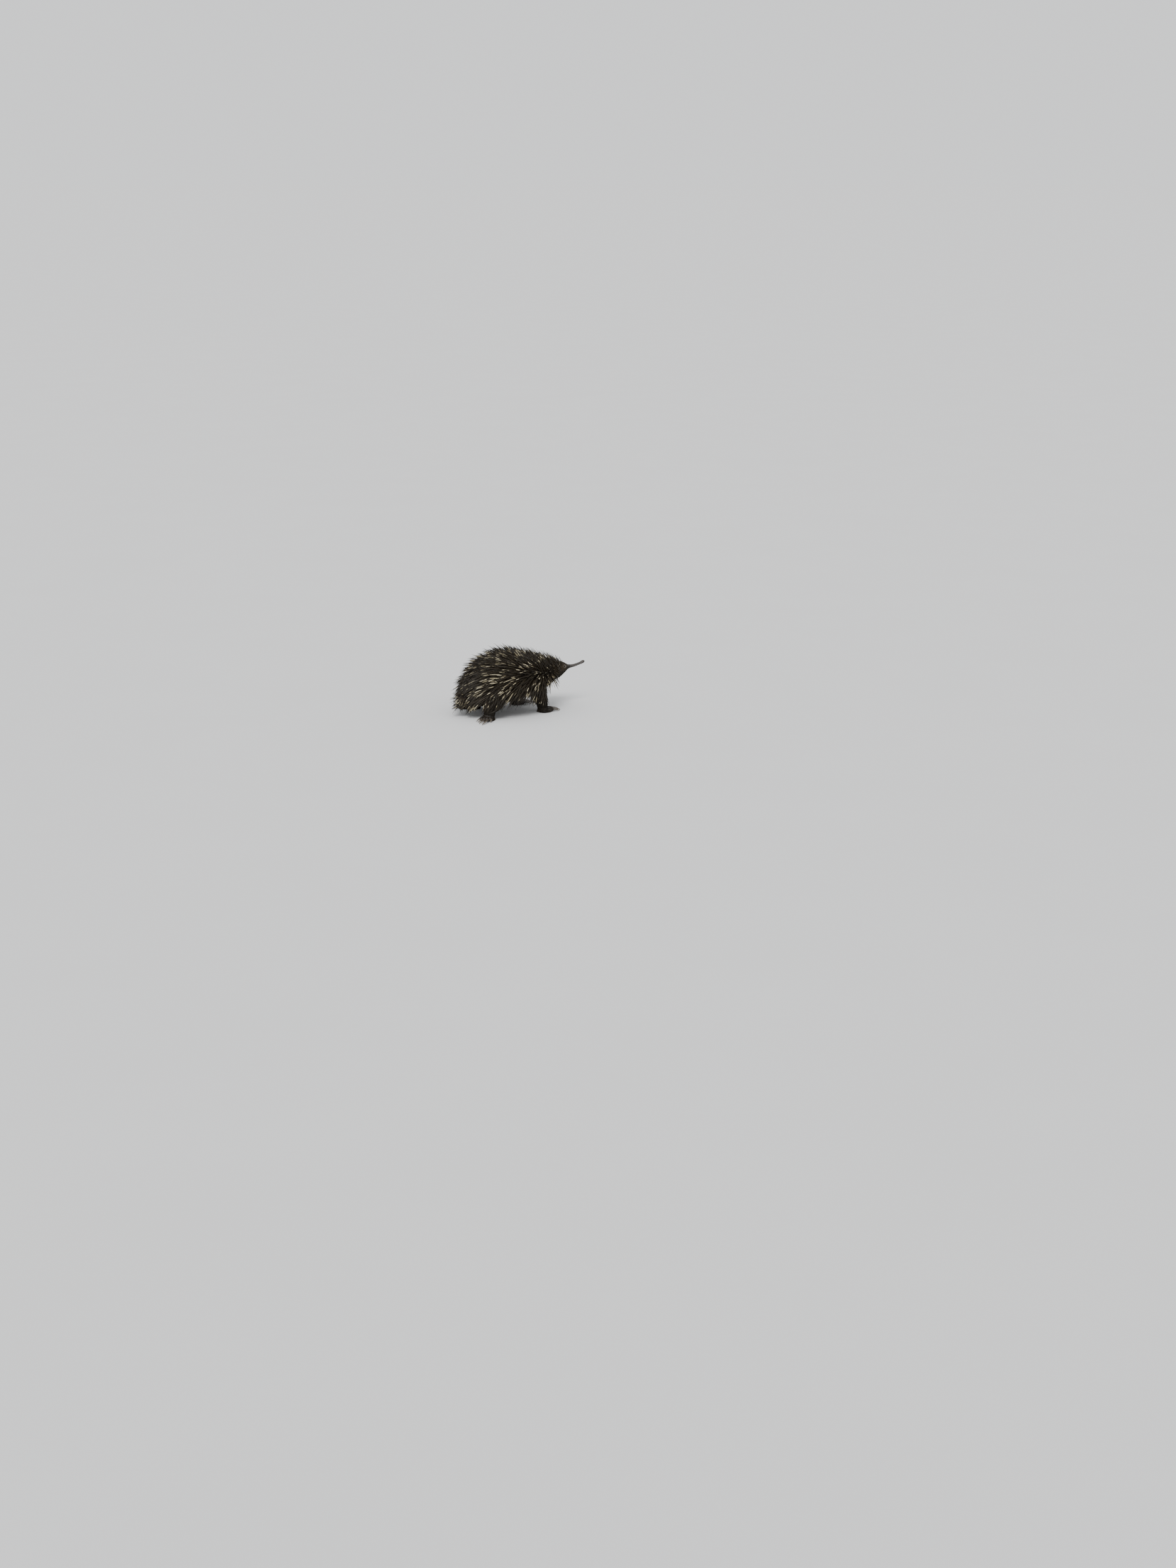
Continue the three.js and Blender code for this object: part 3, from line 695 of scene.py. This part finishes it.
def tapered(name, lines, radius, shape, roots_uv, facts):
    """Closed tapering bodies along lines: one mesh, with OFBake patches and point attributes.

    lines has the shape count, rings + 1, 3, where the last point is the tip. facts names values
    from 0 to 1, one for each body.
    """
    count, rings, sides = len(lines), len(shape["taper"]), shape["sides"]
    radii = radius[:, None] * np.array(shape["taper"])
    forward = unit(lines[:, 1:] - lines[:, :-1])
    reference = unit(np.cross(forward[:, 0], np.array([0.13, 0.31, 0.94])))
    side = unit(reference[:, None, :] - forward * dot(reference[:, None, :], forward)[..., None])
    over = np.cross(forward, side)
    phase = np.arange(sides) * 2 * np.pi / sides
    ring = (
        side[:, :, None, :] * np.cos(phase)[:, None]
        + over[:, :, None, :] * np.sin(phase)[:, None] * shape["flatness"]
    )
    around = lines[:, :-1, None, :] + ring * radii[:, :, None, None]
    points = np.concatenate([around.reshape(count, -1, 3), lines[:, -1:, :]], axis=1)
    per_body = rings * sides + 1

    here = np.arange(sides)
    after = (here + 1) % sides
    ring_start = np.arange(rings - 1)[:, None] * sides
    lower = [ring_start + here, ring_start + after]
    quads = np.stack(lower + [lower[1] + sides, lower[0] + sides], axis=-1)
    top = (rings - 1) * sides
    tips = np.stack([top + here, top + after, np.full(sides, rings * sides)], axis=1)
    corner_of_body = np.concatenate([quads.ravel(), tips.ravel(), here[::-1]])
    size_of_body = np.array([4] * (rings - 1) * sides + [3] * sides + [sides])
    corners = (np.arange(count)[:, None] * per_body + corner_of_body).ravel()
    mesh = filled_mesh(name, points.reshape(-1, 3), corners, np.tile(size_of_body, count))

    height = np.concatenate([np.repeat(np.arange(rings) / rings, sides), [1.0]])
    turn = np.concatenate([np.tile(np.arange(sides) / sides, rings), [0.5]])
    patch = np.stack([turn[corner_of_body], height[corner_of_body]], axis=1) - 0.5
    uv = roots_uv[:, None, :] + patch[None] * UV_PATCH
    layer = mesh.uv_layers.new(name="OFBake")
    layer.data.foreach_set("uv", uv.astype(np.float32).ravel())

    add_fact(mesh, "along", np.tile(height, count))
    for fact, values in facts.items():
        add_fact(mesh, fact, np.repeat(values, per_body))
    return placed(name, mesh)


def curved_lines(roots, directions, normals, lengths, shape):
    """Centrelines that start sunk under their roots and bend from directions towards the skin."""
    bend = rng.uniform(*shape["bend"], len(roots))
    start = roots - directions * shape["sunk"]
    lengths = lengths + shape["sunk"]
    u = np.linspace(0, 1, len(shape["taper"]) + 1)[None, :, None]
    straight = start[:, None, :] + directions[:, None, :] * lengths[:, None, None] * u
    return straight - normals[:, None, :] * (lengths * bend)[:, None, None] * u**2


def uv_on(sheet, t, angle):
    """Places on the unwrap: sheet is the rectangle that the form has in it."""
    left, bottom, width, height = sheet
    return np.stack([left + width * t, bottom + height * (angle / (2 * np.pi) % 1)], axis=1)


TRUNK_SHEET = (0.01, 0.38, 0.98, 0.60)
LIMB_SHEETS = [(0.01 + 0.19 * i, 0.02, 0.17, 0.16) for i in range(5)]
PAW_SHEETS = [(0.01 + 0.19 * i, 0.20, 0.17, 0.16) for i in range(4)]
TOE_SHEETS = [[(0.78 + 0.042 * j, 0.20 + 0.042 * i, 0.038, 0.036) for j in range(5)] for i in range(4)]

MOST_TRIANGLES = 190000


def in_pieces(name, lines, radius, shape, uv, facts):
    """Makes one or more coat pieces from bodies that are already in order."""
    triangles = 2 * shape["sides"] * len(shape["taper"]) - 2
    chunks = math.ceil(len(lines) * triangles / MOST_TRIANGLES)
    made = []
    for i, chunk in enumerate(np.array_split(np.arange(len(lines)), chunks)):
        piece_facts = {fact: values[chunk] for fact, values in facts.items()}
        made.append(tapered(f"{name}_{i + 1}", lines[chunk], radius[chunk], shape, uv[chunk], piece_facts))
    return made


# The form of spines and tufts: sides, thickness from root to tip as a share of the radius, how
# deep they start under their roots, the least and most bend, and how thick they are for their width.
SPINE_FORM = {
    "sides": 6,
    "taper": (0.55, 0.9, 1.0, 0.92, 0.7, 0.4),
    "sunk": 2.0,
    "bend": (-0.01, 0.06),
    "flatness": 1.0,
}
TUFT_FORM = {"sides": 3, "taper": (0.8, 1.0, 0.6), "sunk": 1.2, "bend": (0.1, 0.3), "flatness": 0.6}
# The cream spots: how much of them is place and how much chance, and where along a spine the
# middle of its cream band lies and half the band's length. Some are quills with a long band.
SPOTS = {"place": 0.85, "chance": 0.15}
BAND = {"lowest": 0.44, "range": 0.32, "chance": 0.03, "reach": (0.08, 0.14)}
QUILL = {"share": 0.015, "last_station": 5, "longer": 1.1, "band": 0.62, "reach": 0.3}


def spine_facts(roots, quill=False):
    """What the look of spines varies by: where each has a cream band, if any, and how long it is."""
    count = len(roots)
    spots = clumps(roots, "spots") * SPOTS["place"] + rng.random(count) * SPOTS["chance"]
    band = BAND["lowest"] + BAND["range"] * clumps(roots, "bands")
    band += rng.uniform(-BAND["chance"], BAND["chance"], count)
    return {
        "tone": rng.random(count),
        "pale": np.where(quill, 1, spots),
        "band": np.where(quill, QUILL["band"], band),
        "reach": np.where(quill, QUILL["reach"], rng.uniform(*BAND["reach"], count)),
    }


# Spines are tried one to each TRY_AREA square millimetres, those whose roots lie BURIED deep in a
# limb are left out, and the rest vary by these shares of each value and degrees of lift.
TRY_AREA = 4.2
BURIED = 4
# How long the part of a spine under the solids' surface is, as a multiple of the skin's depth.
SLANT = 1.4
SPINES_VARY = {"length": 0.2, "lift": 0.35, "degrees": 2.5, "heading": 0.13, "radius": 0.25}
LIMB_SPINES_VARY = {"length": 0.2, "lift": 0.4, "radius": 0.2}


def trunk_spines():
    t, angle = scatter(trunk_skin, lambda t: TRY_AREA, high=LAST_SPINY_STATION / LAST_STATION)
    station = t * LAST_STATION
    spiny = np.abs(np.degrees(angle)) < profile(SPINE_LOWEST, station)
    t, angle, station = t[spiny], angle[spiny], station[spiny]
    skin_points = trunk_skin(t, angle)
    mix = rng.permutation(len(t))
    kept = mix[thinned(skin_points[mix], profile(SPINE_SPACING, station[mix]))]
    kept = kept[np.argsort(station[kept])]
    t, angle, station, roots = t[kept], angle[kept], station[kept], skin_points[kept]
    shown = depth_in(roots, *ALL_SPHERES) <= BURIED
    t, angle, station, roots = t[shown], angle[shown], station[shown], roots[shown]

    count = len(t)
    normals = normals_of(trunk_point, t, angle)
    depth = profile(SKIN_DEPTH, station)
    quill = (rng.random(count) < QUILL["share"]) & (station < QUILL["last_station"])
    beyond = profile(SPINE_LENGTH, station) * spread(count, SPINES_VARY["length"])
    beyond *= np.where(quill, QUILL["longer"], 1)
    lift = profile(SPINE_LIFT, station) * spread(count, SPINES_VARY["lift"])
    lift += rng.normal(0, SPINES_VARY["degrees"], count)
    length = beyond + depth * SLANT
    rise = beyond * np.sin(np.radians(lift)) + depth
    lift = np.degrees(np.arcsin(np.clip(rise / length, 0.05, 0.95)))
    sag = profile(SPINE_SAG, np.abs(np.degrees(angle)))
    flat = laid(normals, roots, np.stack([-np.ones(count), np.zeros(count), -sag], axis=1))
    sideways = np.cross(normals, flat)
    strength = np.linalg.norm(flat, axis=1)[:, None]
    aside = rng.normal(0, SPINES_VARY["heading"], count)[:, None]
    flat = unit(flat + sideways * aside) * strength
    directions = raised(flat, normals, lift)
    radius = profile(SPINE_RADIUS, station) * spread(count, SPINES_VARY["radius"])
    lines = bend_clear(curved_lines(roots, directions, normals, length, SPINE_FORM), radius)
    facts = spine_facts(roots, quill)
    return in_pieces("spines", lines, radius, SPINE_FORM, uv_on(TRUNK_SHEET, t, angle), facts)


def limb_places(form, area, low=0.02, high=0.98):
    """Random places on a leg, paw, toe or the tail that show outside the trunk, and the normals there."""
    t, angle = scatter(form, lambda t: area, rows=80, columns=80, low=low, high=high)
    roots = form(t, angle)
    normals = normals_of(form, t, angle)
    if np.mean(dot(normals, roots - roots.mean(axis=0))) < 0:
        normals = -normals
    shown = (depth_in_trunk(roots) < 1) & (roots[:, 2] > 1)
    return t[shown], angle[shown], roots[shown], normals[shown]


def along_surface(wish, normals):
    wishes = np.broadcast_to(np.array(wish, float), normals.shape)
    return unit(wishes - normals * dot(wishes, normals)[:, None])


def limb_spines(name, form, sheet, size):
    """Short spines on a leg or the tail, with size["spacing"] millimetres between them."""
    t, angle, roots, normals = limb_places(form, size["spacing"] ** 2 / 2, size["low"], size["high"])
    kept = thinned(roots, np.full(len(roots), size["spacing"]))
    kept = kept[roots[kept, 2] > size["lowest"]]
    t, angle, roots, normals = t[kept], angle[kept], roots[kept], normals[kept]
    count = len(roots)
    flat = along_surface(size["wish"], normals)
    directions = raised(flat, normals, size["lift"] * spread(count, LIMB_SPINES_VARY["lift"]))
    length = size["length"] * spread(count, LIMB_SPINES_VARY["length"])
    lines = curved_lines(roots, directions, normals, length, SPINE_FORM)
    radius = size["radius"] * spread(count, LIMB_SPINES_VARY["radius"])
    lines[..., 2] = np.maximum(lines[..., 2], radius[:, None] + CLEARANCE["floor"])
    return in_pieces(name, lines, radius, SPINE_FORM, uv_on(sheet, t, angle), spine_facts(roots))


LEG_SPINES = {
    "spacing": 5.5,
    "low": 0.05,
    "high": 0.7,
    "lowest": 36,
    "wish": (-0.6, 0, -1),
    "lift": 16,
    "length": 22,
    "radius": 0.8,
}
TAIL_SPINES = {
    "spacing": 4.2,
    "low": 0.3,
    "high": 0.95,
    "lowest": 30,
    "wish": (-1, 0, -0.35),
    "lift": 28,
    "length": 30,
    "radius": 0.95,
}


def limbs_spines():
    made = limb_spines("spines_tail", TAIL_FORM, LIMB_SHEETS[4], TAIL_SPINES)
    for i, ((limb_name, side), leg) in enumerate(LEGS.items()):
        made += limb_spines(f"spines_{limb_name}leg_{side}", leg["form"], LIMB_SHEETS[i], LEG_SPINES)
    return made


TUFTS_VARY = {"size": 0.3, "heading": 0.22}
LOWEST_TUFT = 0.5


def fur(name, roots, normals, flat, uv, size):
    """Thin closed tufts along flat, whose length, radius and lift are a number or one for each root."""
    count = len(roots)
    size = {key: value * spread(count, TUFTS_VARY["size"]) for key, value in size.items()}
    directions = raised(flat, normals, size["lift"])
    aside = np.cross(normals, flat) * rng.normal(0, TUFTS_VARY["heading"], count)[:, None]
    lines = curved_lines(roots, unit(directions + aside), normals, size["length"], TUFT_FORM)
    lines[..., 2] = np.maximum(lines[..., 2], LOWEST_TUFT)
    facts = {"tone": rng.random(count), "pale": clumps(roots, "tufts"), "light": eye_patch(roots)}
    return in_pieces(name, lines, size["radius"], TUFT_FORM, uv, facts)


def trunk_fur():
    last = LAST_FURRY_STATION / LAST_STATION
    t, angle = scatter(trunk_skin, lambda t: profile(FUR_AREA, t * LAST_STATION), rows=320, high=last)
    roots = carve_head(trunk_skin(t, angle))
    shown = depth_in(roots, *ALL_SPHERES) < FUR_BURIED
    for organ, bare in ((EYE, BARE_EYE), (EAR, BARE_EAR)):
        for sign in (-1, 1):
            a, u, _, _ = seen_from(roots, organ, sign)
            shown &= np.hypot((a - bare["ahead"]) / bare["long"], u / bare["high"]) > 1
    t, angle, roots = t[shown], angle[shown], roots[shown]
    order = np.argsort(t, kind="stable")
    t, angle, roots = t[order], angle[order], roots[order]
    station = t * LAST_STATION
    normals = normals_of(trunk_point, t, angle)
    size = {
        "length": profile(FUR_LENGTH, station),
        "radius": profile(FUR_RADIUS, station),
        "lift": profile(FUR_LIFT, station),
    }
    flat = laid(normals, roots, FUR_WISH)
    return fur("coat", roots, normals, flat, uv_on(TRUNK_SHEET, t, angle), size)


# Length and radius of the fur on the legs by height, length on the paws from heel to toes and
# radius there by length. Wishes are ways that the fur lies in, and areas what each tuft covers.
LEG_FUR_LENGTH = ((8, 7), (25, 9), (45, 13), (80, 17))
LEG_FUR_RADIUS = ((8, 0.38), (40, 0.5))
PAW_FUR_LENGTH = ((-20, 7), (5, 4), (20, 2.5))
PAW_FUR_RADIUS = ((2.4, 0.22), (6, 0.36))
TOE_FUR_LENGTH = 2.4
LEG_FUR_WISH = (-0.25, 0, -1)
PAW_FUR_WISH = (1.0, 0.0, -0.5)
LIMB_FUR_LIFT = 18
LIMB_FUR_AREA = 2.0
PAW_FUR_AREA = 1.0
TAIL_FUR = {"length": 14, "radius": 0.5, "lift": 22}
TAIL_FUR_WISH = (-1, 0, -0.45)


def leg_fur():
    made = []
    for i, ((limb_name, side), leg) in enumerate(LEGS.items()):
        t, angle, roots, normals = limb_places(leg["form"], LIMB_FUR_AREA)
        length, radius = (profile(table, roots[:, 2]) for table in (LEG_FUR_LENGTH, LEG_FUR_RADIUS))
        size = {"length": length, "radius": radius, "lift": LIMB_FUR_LIFT}
        flat = along_surface(LEG_FUR_WISH, normals)
        uv = uv_on(LIMB_SHEETS[i], t, angle)
        made += fur(f"fur_{limb_name}leg_{side}", roots, normals, flat, uv, size)
    return made


def paw_fur():
    """Short fur on the paws, and shorter still on their toes."""
    made = []
    for i, (limb_name, side, paw, kind) in enumerate(LIMBS):
        turn, place = paw_matrix(side, paw, kind)
        ahead = turn @ np.array(PAW_FUR_WISH)
        t, angle, roots, normals = limb_places(PAWS[limb_name, side], PAW_FUR_AREA)
        clear = depth_in(roots, *LEG_SPHERES[i]) < FUR_BURIED
        t, angle, roots, normals = t[clear], angle[clear], roots[clear], normals[clear]
        length = profile(PAW_FUR_LENGTH, ((roots - place) @ turn)[:, 0])
        pieces = [(roots, normals, uv_on(PAW_SHEETS[i], t, angle), length)]
        for j, form in enumerate(TOES[limb_name, side]):
            t, angle, roots, normals = limb_places(form, PAW_FUR_AREA)
            top = normals[:, 2] > -0.3
            uv = uv_on(TOE_SHEETS[i][j], t[top], angle[top])
            pieces.append((roots[top], normals[top], uv, np.full(top.sum(), TOE_FUR_LENGTH)))
        roots, normals, uv, length = (np.concatenate(column) for column in zip(*pieces))
        size = {"length": length, "radius": profile(PAW_FUR_RADIUS, length), "lift": LIMB_FUR_LIFT}
        made += fur(f"fur_{limb_name}paw_{side}", roots, normals, along_surface(ahead, normals), uv, size)
    return made


def tail_fur():
    t, angle, roots, normals = limb_places(TAIL_FORM, LIMB_FUR_AREA)
    flat = along_surface(TAIL_FUR_WISH, normals)
    return fur("fur_tail", roots, normals, flat, uv_on(LIMB_SHEETS[4], t, angle), TAIL_FUR)


# Materials


class Look:
    """A material of nodes, with short ways to add and join them."""

    def __init__(self, name):
        self.material = bpy.data.materials.new(name)
        self.material.use_nodes = True
        self.nodes = self.material.node_tree.nodes
        self.links = self.material.node_tree.links
        self.shader = self.nodes["Principled BSDF"]

    def add(self, kind, inputs=None, **settings):
        node = self.nodes.new(kind)
        for key, value in settings.items():
            setattr(node, key, value)
        for key, value in (inputs or {}).items():
            if isinstance(value, bpy.types.NodeSocket):
                self.links.new(value, node.inputs[key])
            else:
                node.inputs[key].default_value = value
        return node

    def attribute(self, name):
        return self.add("ShaderNodeAttribute", attribute_type="GEOMETRY", attribute_name=name).outputs["Fac"]

    def noise(self, scale, detail, stretch=None):
        place = self.add("ShaderNodeTexCoord").outputs["Object"]
        if stretch:
            place = self.add("ShaderNodeMapping", {"Vector": place, "Scale": stretch}).outputs[0]
        inputs = {"Vector": place, "Scale": scale, "Detail": detail, "Roughness": 0.55}
        return self.add("ShaderNodeTexNoise", inputs).outputs["Fac"]

    def ramp(self, value, stops):
        node = self.add("ShaderNodeValToRGB", {"Fac": value})
        ramp = node.color_ramp
        while len(ramp.elements) < len(stops):
            ramp.elements.new(0.5)
        for element, (position, colour) in zip(ramp.elements, stops):
            element.position = position
            element.color = (*colour, 1)
        return node.outputs["Color"]

    def mix(self, factor, a, b, blend="MIX"):
        """A mix of two colours, which are inputs 6 and 7 and output 2 of the node."""
        inputs = {"Factor": factor, 6: a, 7: b}
        return self.add("ShaderNodeMix", inputs, data_type="RGBA", blend_type=blend).outputs[2]

    def math(self, operation, *values, clamp=False):
        inputs = dict(enumerate(values))
        return self.add("ShaderNodeMath", inputs, operation=operation, use_clamp=clamp).outputs[0]

    def colour(self, value):
        self.links.new(value, self.shader.inputs["Base Color"])

    def bump(self, height, distance, strength=0.6):
        inputs = {"Height": height, "Distance": distance, "Strength": strength}
        bump = self.add("ShaderNodeBump", inputs)
        self.links.new(bump.outputs["Normal"], self.shader.inputs["Normal"])

    def finish(self, **values):
        for key, value in values.items():
            self.shader.inputs[key.replace("_", " ").title().replace("Ior", "IOR")].default_value = value
        return self.material


PALE_FUR = (0.112, 0.088, 0.058, 1)
# Colours from the root to the tip, or from the darkest to the palest place.
SPINE_STOPS = (
    (0.0, (0.072, 0.056, 0.035)),
    (0.3, (0.045, 0.035, 0.022)),
    (0.7, (0.034, 0.027, 0.018)),
    (0.95, (0.009, 0.007, 0.005)),
)
CREAM_STOPS = ((0.0, (0.38, 0.33, 0.21)), (1.0, (0.56, 0.50, 0.36)))
FUR_STOPS = ((0.0, (0.012, 0.010, 0.007)), (0.6, (0.026, 0.020, 0.013)), (1.0, (0.050, 0.038, 0.026)))
HIDE_STOPS = ((0.3, (0.013, 0.010, 0.008)), (0.7, (0.030, 0.023, 0.017)))
BEAK_STOPS = ((0.3, (0.020, 0.017, 0.015)), (0.7, (0.046, 0.038, 0.031)))
HORN_STOPS = ((0.0, (0.030, 0.024, 0.019)), (0.6, (0.064, 0.051, 0.038)), (1.0, (0.145, 0.12, 0.086)))
EYE_STOPS = ((0.3, (0.004, 0.003, 0.003)), (0.8, (0.012, 0.008, 0.006)))


def spine_look():
    """Dark brown spines with near black tips, some of them with a cream band."""
    look = Look("spine")
    names = ("along", "tone", "pale", "band", "reach")
    along, tone, pale, band, reach = (look.attribute(name) for name in names)
    away = look.math("ABSOLUTE", look.math("SUBTRACT", along, band))
    in_band = look.math("MULTIPLY_ADD", look.math("SUBTRACT", reach, away), 16.0, 0.5, clamp=True)
    chosen = look.ramp(pale, ((0.68, (0, 0, 0)), (0.71, (1, 1, 1))))
    dark, cream = look.ramp(along, SPINE_STOPS), look.ramp(tone, CREAM_STOPS)
    mixed = look.mix(look.math("MULTIPLY", in_band, chosen), dark, cream)
    shade = look.ramp(tone, ((0.0, (0.62, 0.60, 0.56)), (1.0, (1.0, 1.0, 1.0))))
    look.colour(look.mix(1.0, mixed, shade, "MULTIPLY"))
    look.bump(look.noise(900, 2.0), 0.0003, 0.3)
    return look.finish(roughness=0.45, specular_ior_level=0.3)


def fur_look():
    look = Look("fur")
    along, tone, pale, light = (look.attribute(name) for name in ("along", "tone", "pale", "light"))
    patch = look.ramp(pale, ((0.55, (0.7, 0.7, 0.7)), (1.0, (1.5, 1.45, 1.35))))
    shade = look.ramp(tone, ((0.0, (0.55, 0.54, 0.52)), (1.0, (1.25, 1.2, 1.12))))
    strand = look.mix(1.0, look.ramp(along, FUR_STOPS), patch, "MULTIPLY")
    strand = look.mix(look.math("MULTIPLY", light, 0.75), strand, PALE_FUR)
    look.colour(look.mix(1.0, strand, shade, "MULTIPLY"))
    return look.finish(roughness=0.78, specular_ior_level=0.25)


def skin_look():
    """Dark hide, paler round the eyes, that turns into the finely wrinkled skin of the beak."""
    look = Look("hide")
    coarse, fine = look.noise(60, 4.0), look.noise(420, 3.0)
    wrinkles = look.noise(260, 3.0, stretch=(3, 0.6, 0.6))
    light = look.math("MULTIPLY", look.attribute("light"), 0.6)
    hide = look.mix(light, look.ramp(coarse, HIDE_STOPS), PALE_FUR)
    worn = look.ramp(fine, ((0.35, (0.75, 0.75, 0.75)), (0.7, (1.25, 1.22, 1.2))))
    skin_colour = look.mix(look.attribute("bare"), hide, look.ramp(coarse, BEAK_STOPS))
    look.colour(look.mix(1.0, skin_colour, worn, "MULTIPLY"))
    look.bump(look.math("ADD", look.math("ADD", coarse, fine), wrinkles), 0.0005, 0.4)
    return look.finish(roughness=0.52)


def claw_look():
    look = Look("horn")
    streak = look.noise(300, 4.0)
    shade = look.ramp(streak, ((0.3, (0.6, 0.6, 0.6)), (0.7, (1.2, 1.2, 1.2))))
    look.colour(look.mix(1.0, look.ramp(look.attribute("along"), HORN_STOPS), shade, "MULTIPLY"))
    look.bump(streak, 0.0003, 0.5)
    return look.finish(roughness=0.38)


def eye_look():
    look = Look("wet_eye")
    look.colour(look.ramp(look.noise(200, 2.0), EYE_STOPS))
    return look.finish(roughness=0.05, specular_ior_level=0.2)


def finish_piece(obj, look, slot, *nodes):
    obj.data.materials.clear()
    obj.data.materials.append(look)
    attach(obj, "root")
    if nodes:
        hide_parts(*nodes)


FLESH_NODES = ["torso", "neck", "head", "beak", "tail", "ear_right", "ear_left"]
FLESH_NODES += [f"{limb}{part}_{side}" for limb, side, _, _ in LIMBS for part in ("leg", "paw")]
finish_piece(skin, skin_look(), "coat", *FLESH_NODES)

FUR = fur_look()
SPINE = spine_look()
for piece in trunk_spines() + limbs_spines():
    finish_piece(piece, SPINE, "coat")
for piece in trunk_fur() + leg_fur() + tail_fur():
    finish_piece(piece, FUR, "coat")
for piece in paw_fur():
    finish_piece(piece, FUR, "paw")

CLAW_SIDES = 14
CLAW_RINGS = 18
HORN = claw_look()
for limb_name, side, paw, kind in LIMBS:
    turn, place = paw_matrix(side, paw, kind)
    for i, digit in enumerate(digits_of(side, kind)):
        shape = claw_form(kind, digit, SIGN[side] * kind["claw_bend"])
        points, faces = form_mesh(shape, CLAW_SIDES, CLAW_RINGS)
        claw = make_mesh(f"horn_{limb_name}_{side}_{i + 1}", points @ turn.T + place, faces)
        heights = np.repeat(np.linspace(0, 1, CLAW_RINGS + 1)[1:-1], CLAW_SIDES)
        add_fact(claw.data, "along", np.append(heights, [0.0, 1.0]))
        finish_piece(claw, HORN, "claw", f"claw_{limb_name}_{side}_{i + 1}")

WET_EYE = eye_look()
for side, sign in (("right", -1), ("left", 1)):
    centre, ahead, up, out = stand_on(EYE["station"], sign * EYE["angle"], EYE["radius"] - EYE["proud"])

    def ball(t, angle):
        lie = t * np.pi
        spoke = ahead * np.cos(angle)[..., None] + up * np.sin(angle)[..., None]
        return centre + EYE["radius"] * (out * np.cos(lie)[..., None] + spoke * np.sin(lie)[..., None])

    finish_piece(form_object(f"eyeball_{side}", ball, 40, 24), WET_EYE, "eye", f"eye_{side}")

# Stage, light and camera

PHOTO = {"width": 1659, "height": 2212, "lens": 52.0, "sensor": 36.0}
VIEW = {"azimuth": -28, "elevation": 13, "pixels_per_mm": 0.542, "origin_at": (709.8, 1003.5)}


def floor_look():
    look = Look("floor")
    look.colour(look.ramp(look.noise(3, 2.0), FLOOR_STOPS))
    return look.finish(roughness=0.9, specular_ior_level=0.0)


FLOOR_SIZE = 4000
FLOOR_STOPS = ((0.3, (0.6107, 0.6107, 0.6107)), (0.7, (0.62, 0.62, 0.62)))
WORLD = {"colour": (0.83, 0.84, 0.85), "strength": 1.3}
# Where the light comes from, how many degrees of the sky it fills, and its strength, which
# makes the floor as bright as the world behind it.
KEY = {"from": (-0.55, -0.75, 1.1), "spread": 28, "strength": 2.8}


def make_stage():
    bpy.ops.mesh.primitive_plane_add(size=FLOOR_SIZE)
    floor = bpy.context.object
    floor.name = "floor"
    floor.data.materials.append(floor_look())
    world = bpy.data.worlds.new("studio")
    bpy.context.scene.world = world
    world.use_nodes = True
    background = world.node_tree.nodes["Background"]
    background.inputs["Color"].default_value = (*WORLD["colour"], 1)
    background.inputs["Strength"].default_value = WORLD["strength"]


def make_light():
    sun = bpy.data.lights.new("key", "SUN")
    sun.angle = math.radians(KEY["spread"])
    sun.energy = KEY["strength"]
    placed("key", sun).rotation_euler = (-Vector(KEY["from"])).to_track_quat("-Z", "Y").to_euler()


def make_camera():
    """Places the camera so that the drawing frame's origin falls on its pixel of the photo."""
    focal = PHOTO["lens"] / PHOTO["sensor"] * PHOTO["height"]
    distance = focal / VIEW["pixels_per_mm"] / 1000
    a, e = math.radians(VIEW["azimuth"]), math.radians(VIEW["elevation"])
    back = np.array([math.sin(a) * math.cos(e), -math.cos(a) * math.cos(e), math.sin(e)])
    target = to_part(np.zeros(3))
    seen = np.array(
        [VIEW["origin_at"][0] - PHOTO["width"] / 2, PHOTO["height"] / 2 - VIEW["origin_at"][1], focal]
    )
    right, up, forward = seen / np.linalg.norm(seen)
    pitch = math.asin(-math.sin(e) / math.hypot(up, forward)) - math.atan2(up, forward)
    level = forward * math.cos(pitch) - up * math.sin(pitch)
    heading = math.atan2(-back[1], -back[0]) + math.atan2(right, level)
    axis = Vector((math.cos(heading) * math.cos(pitch), math.sin(heading) * math.cos(pitch), math.sin(pitch)))
    data = bpy.data.cameras.new("camera")
    data.lens = PHOTO["lens"]
    data.sensor_width = PHOTO["sensor"]
    data.clip_end = 2 * FLOOR_SIZE
    camera = placed("camera", data)
    camera.location = Vector(target + back * distance)
    camera.rotation_euler = axis.to_track_quat("-Z", "Y").to_euler()
    bpy.context.scene.camera = camera


make_stage()
make_light()
make_camera()
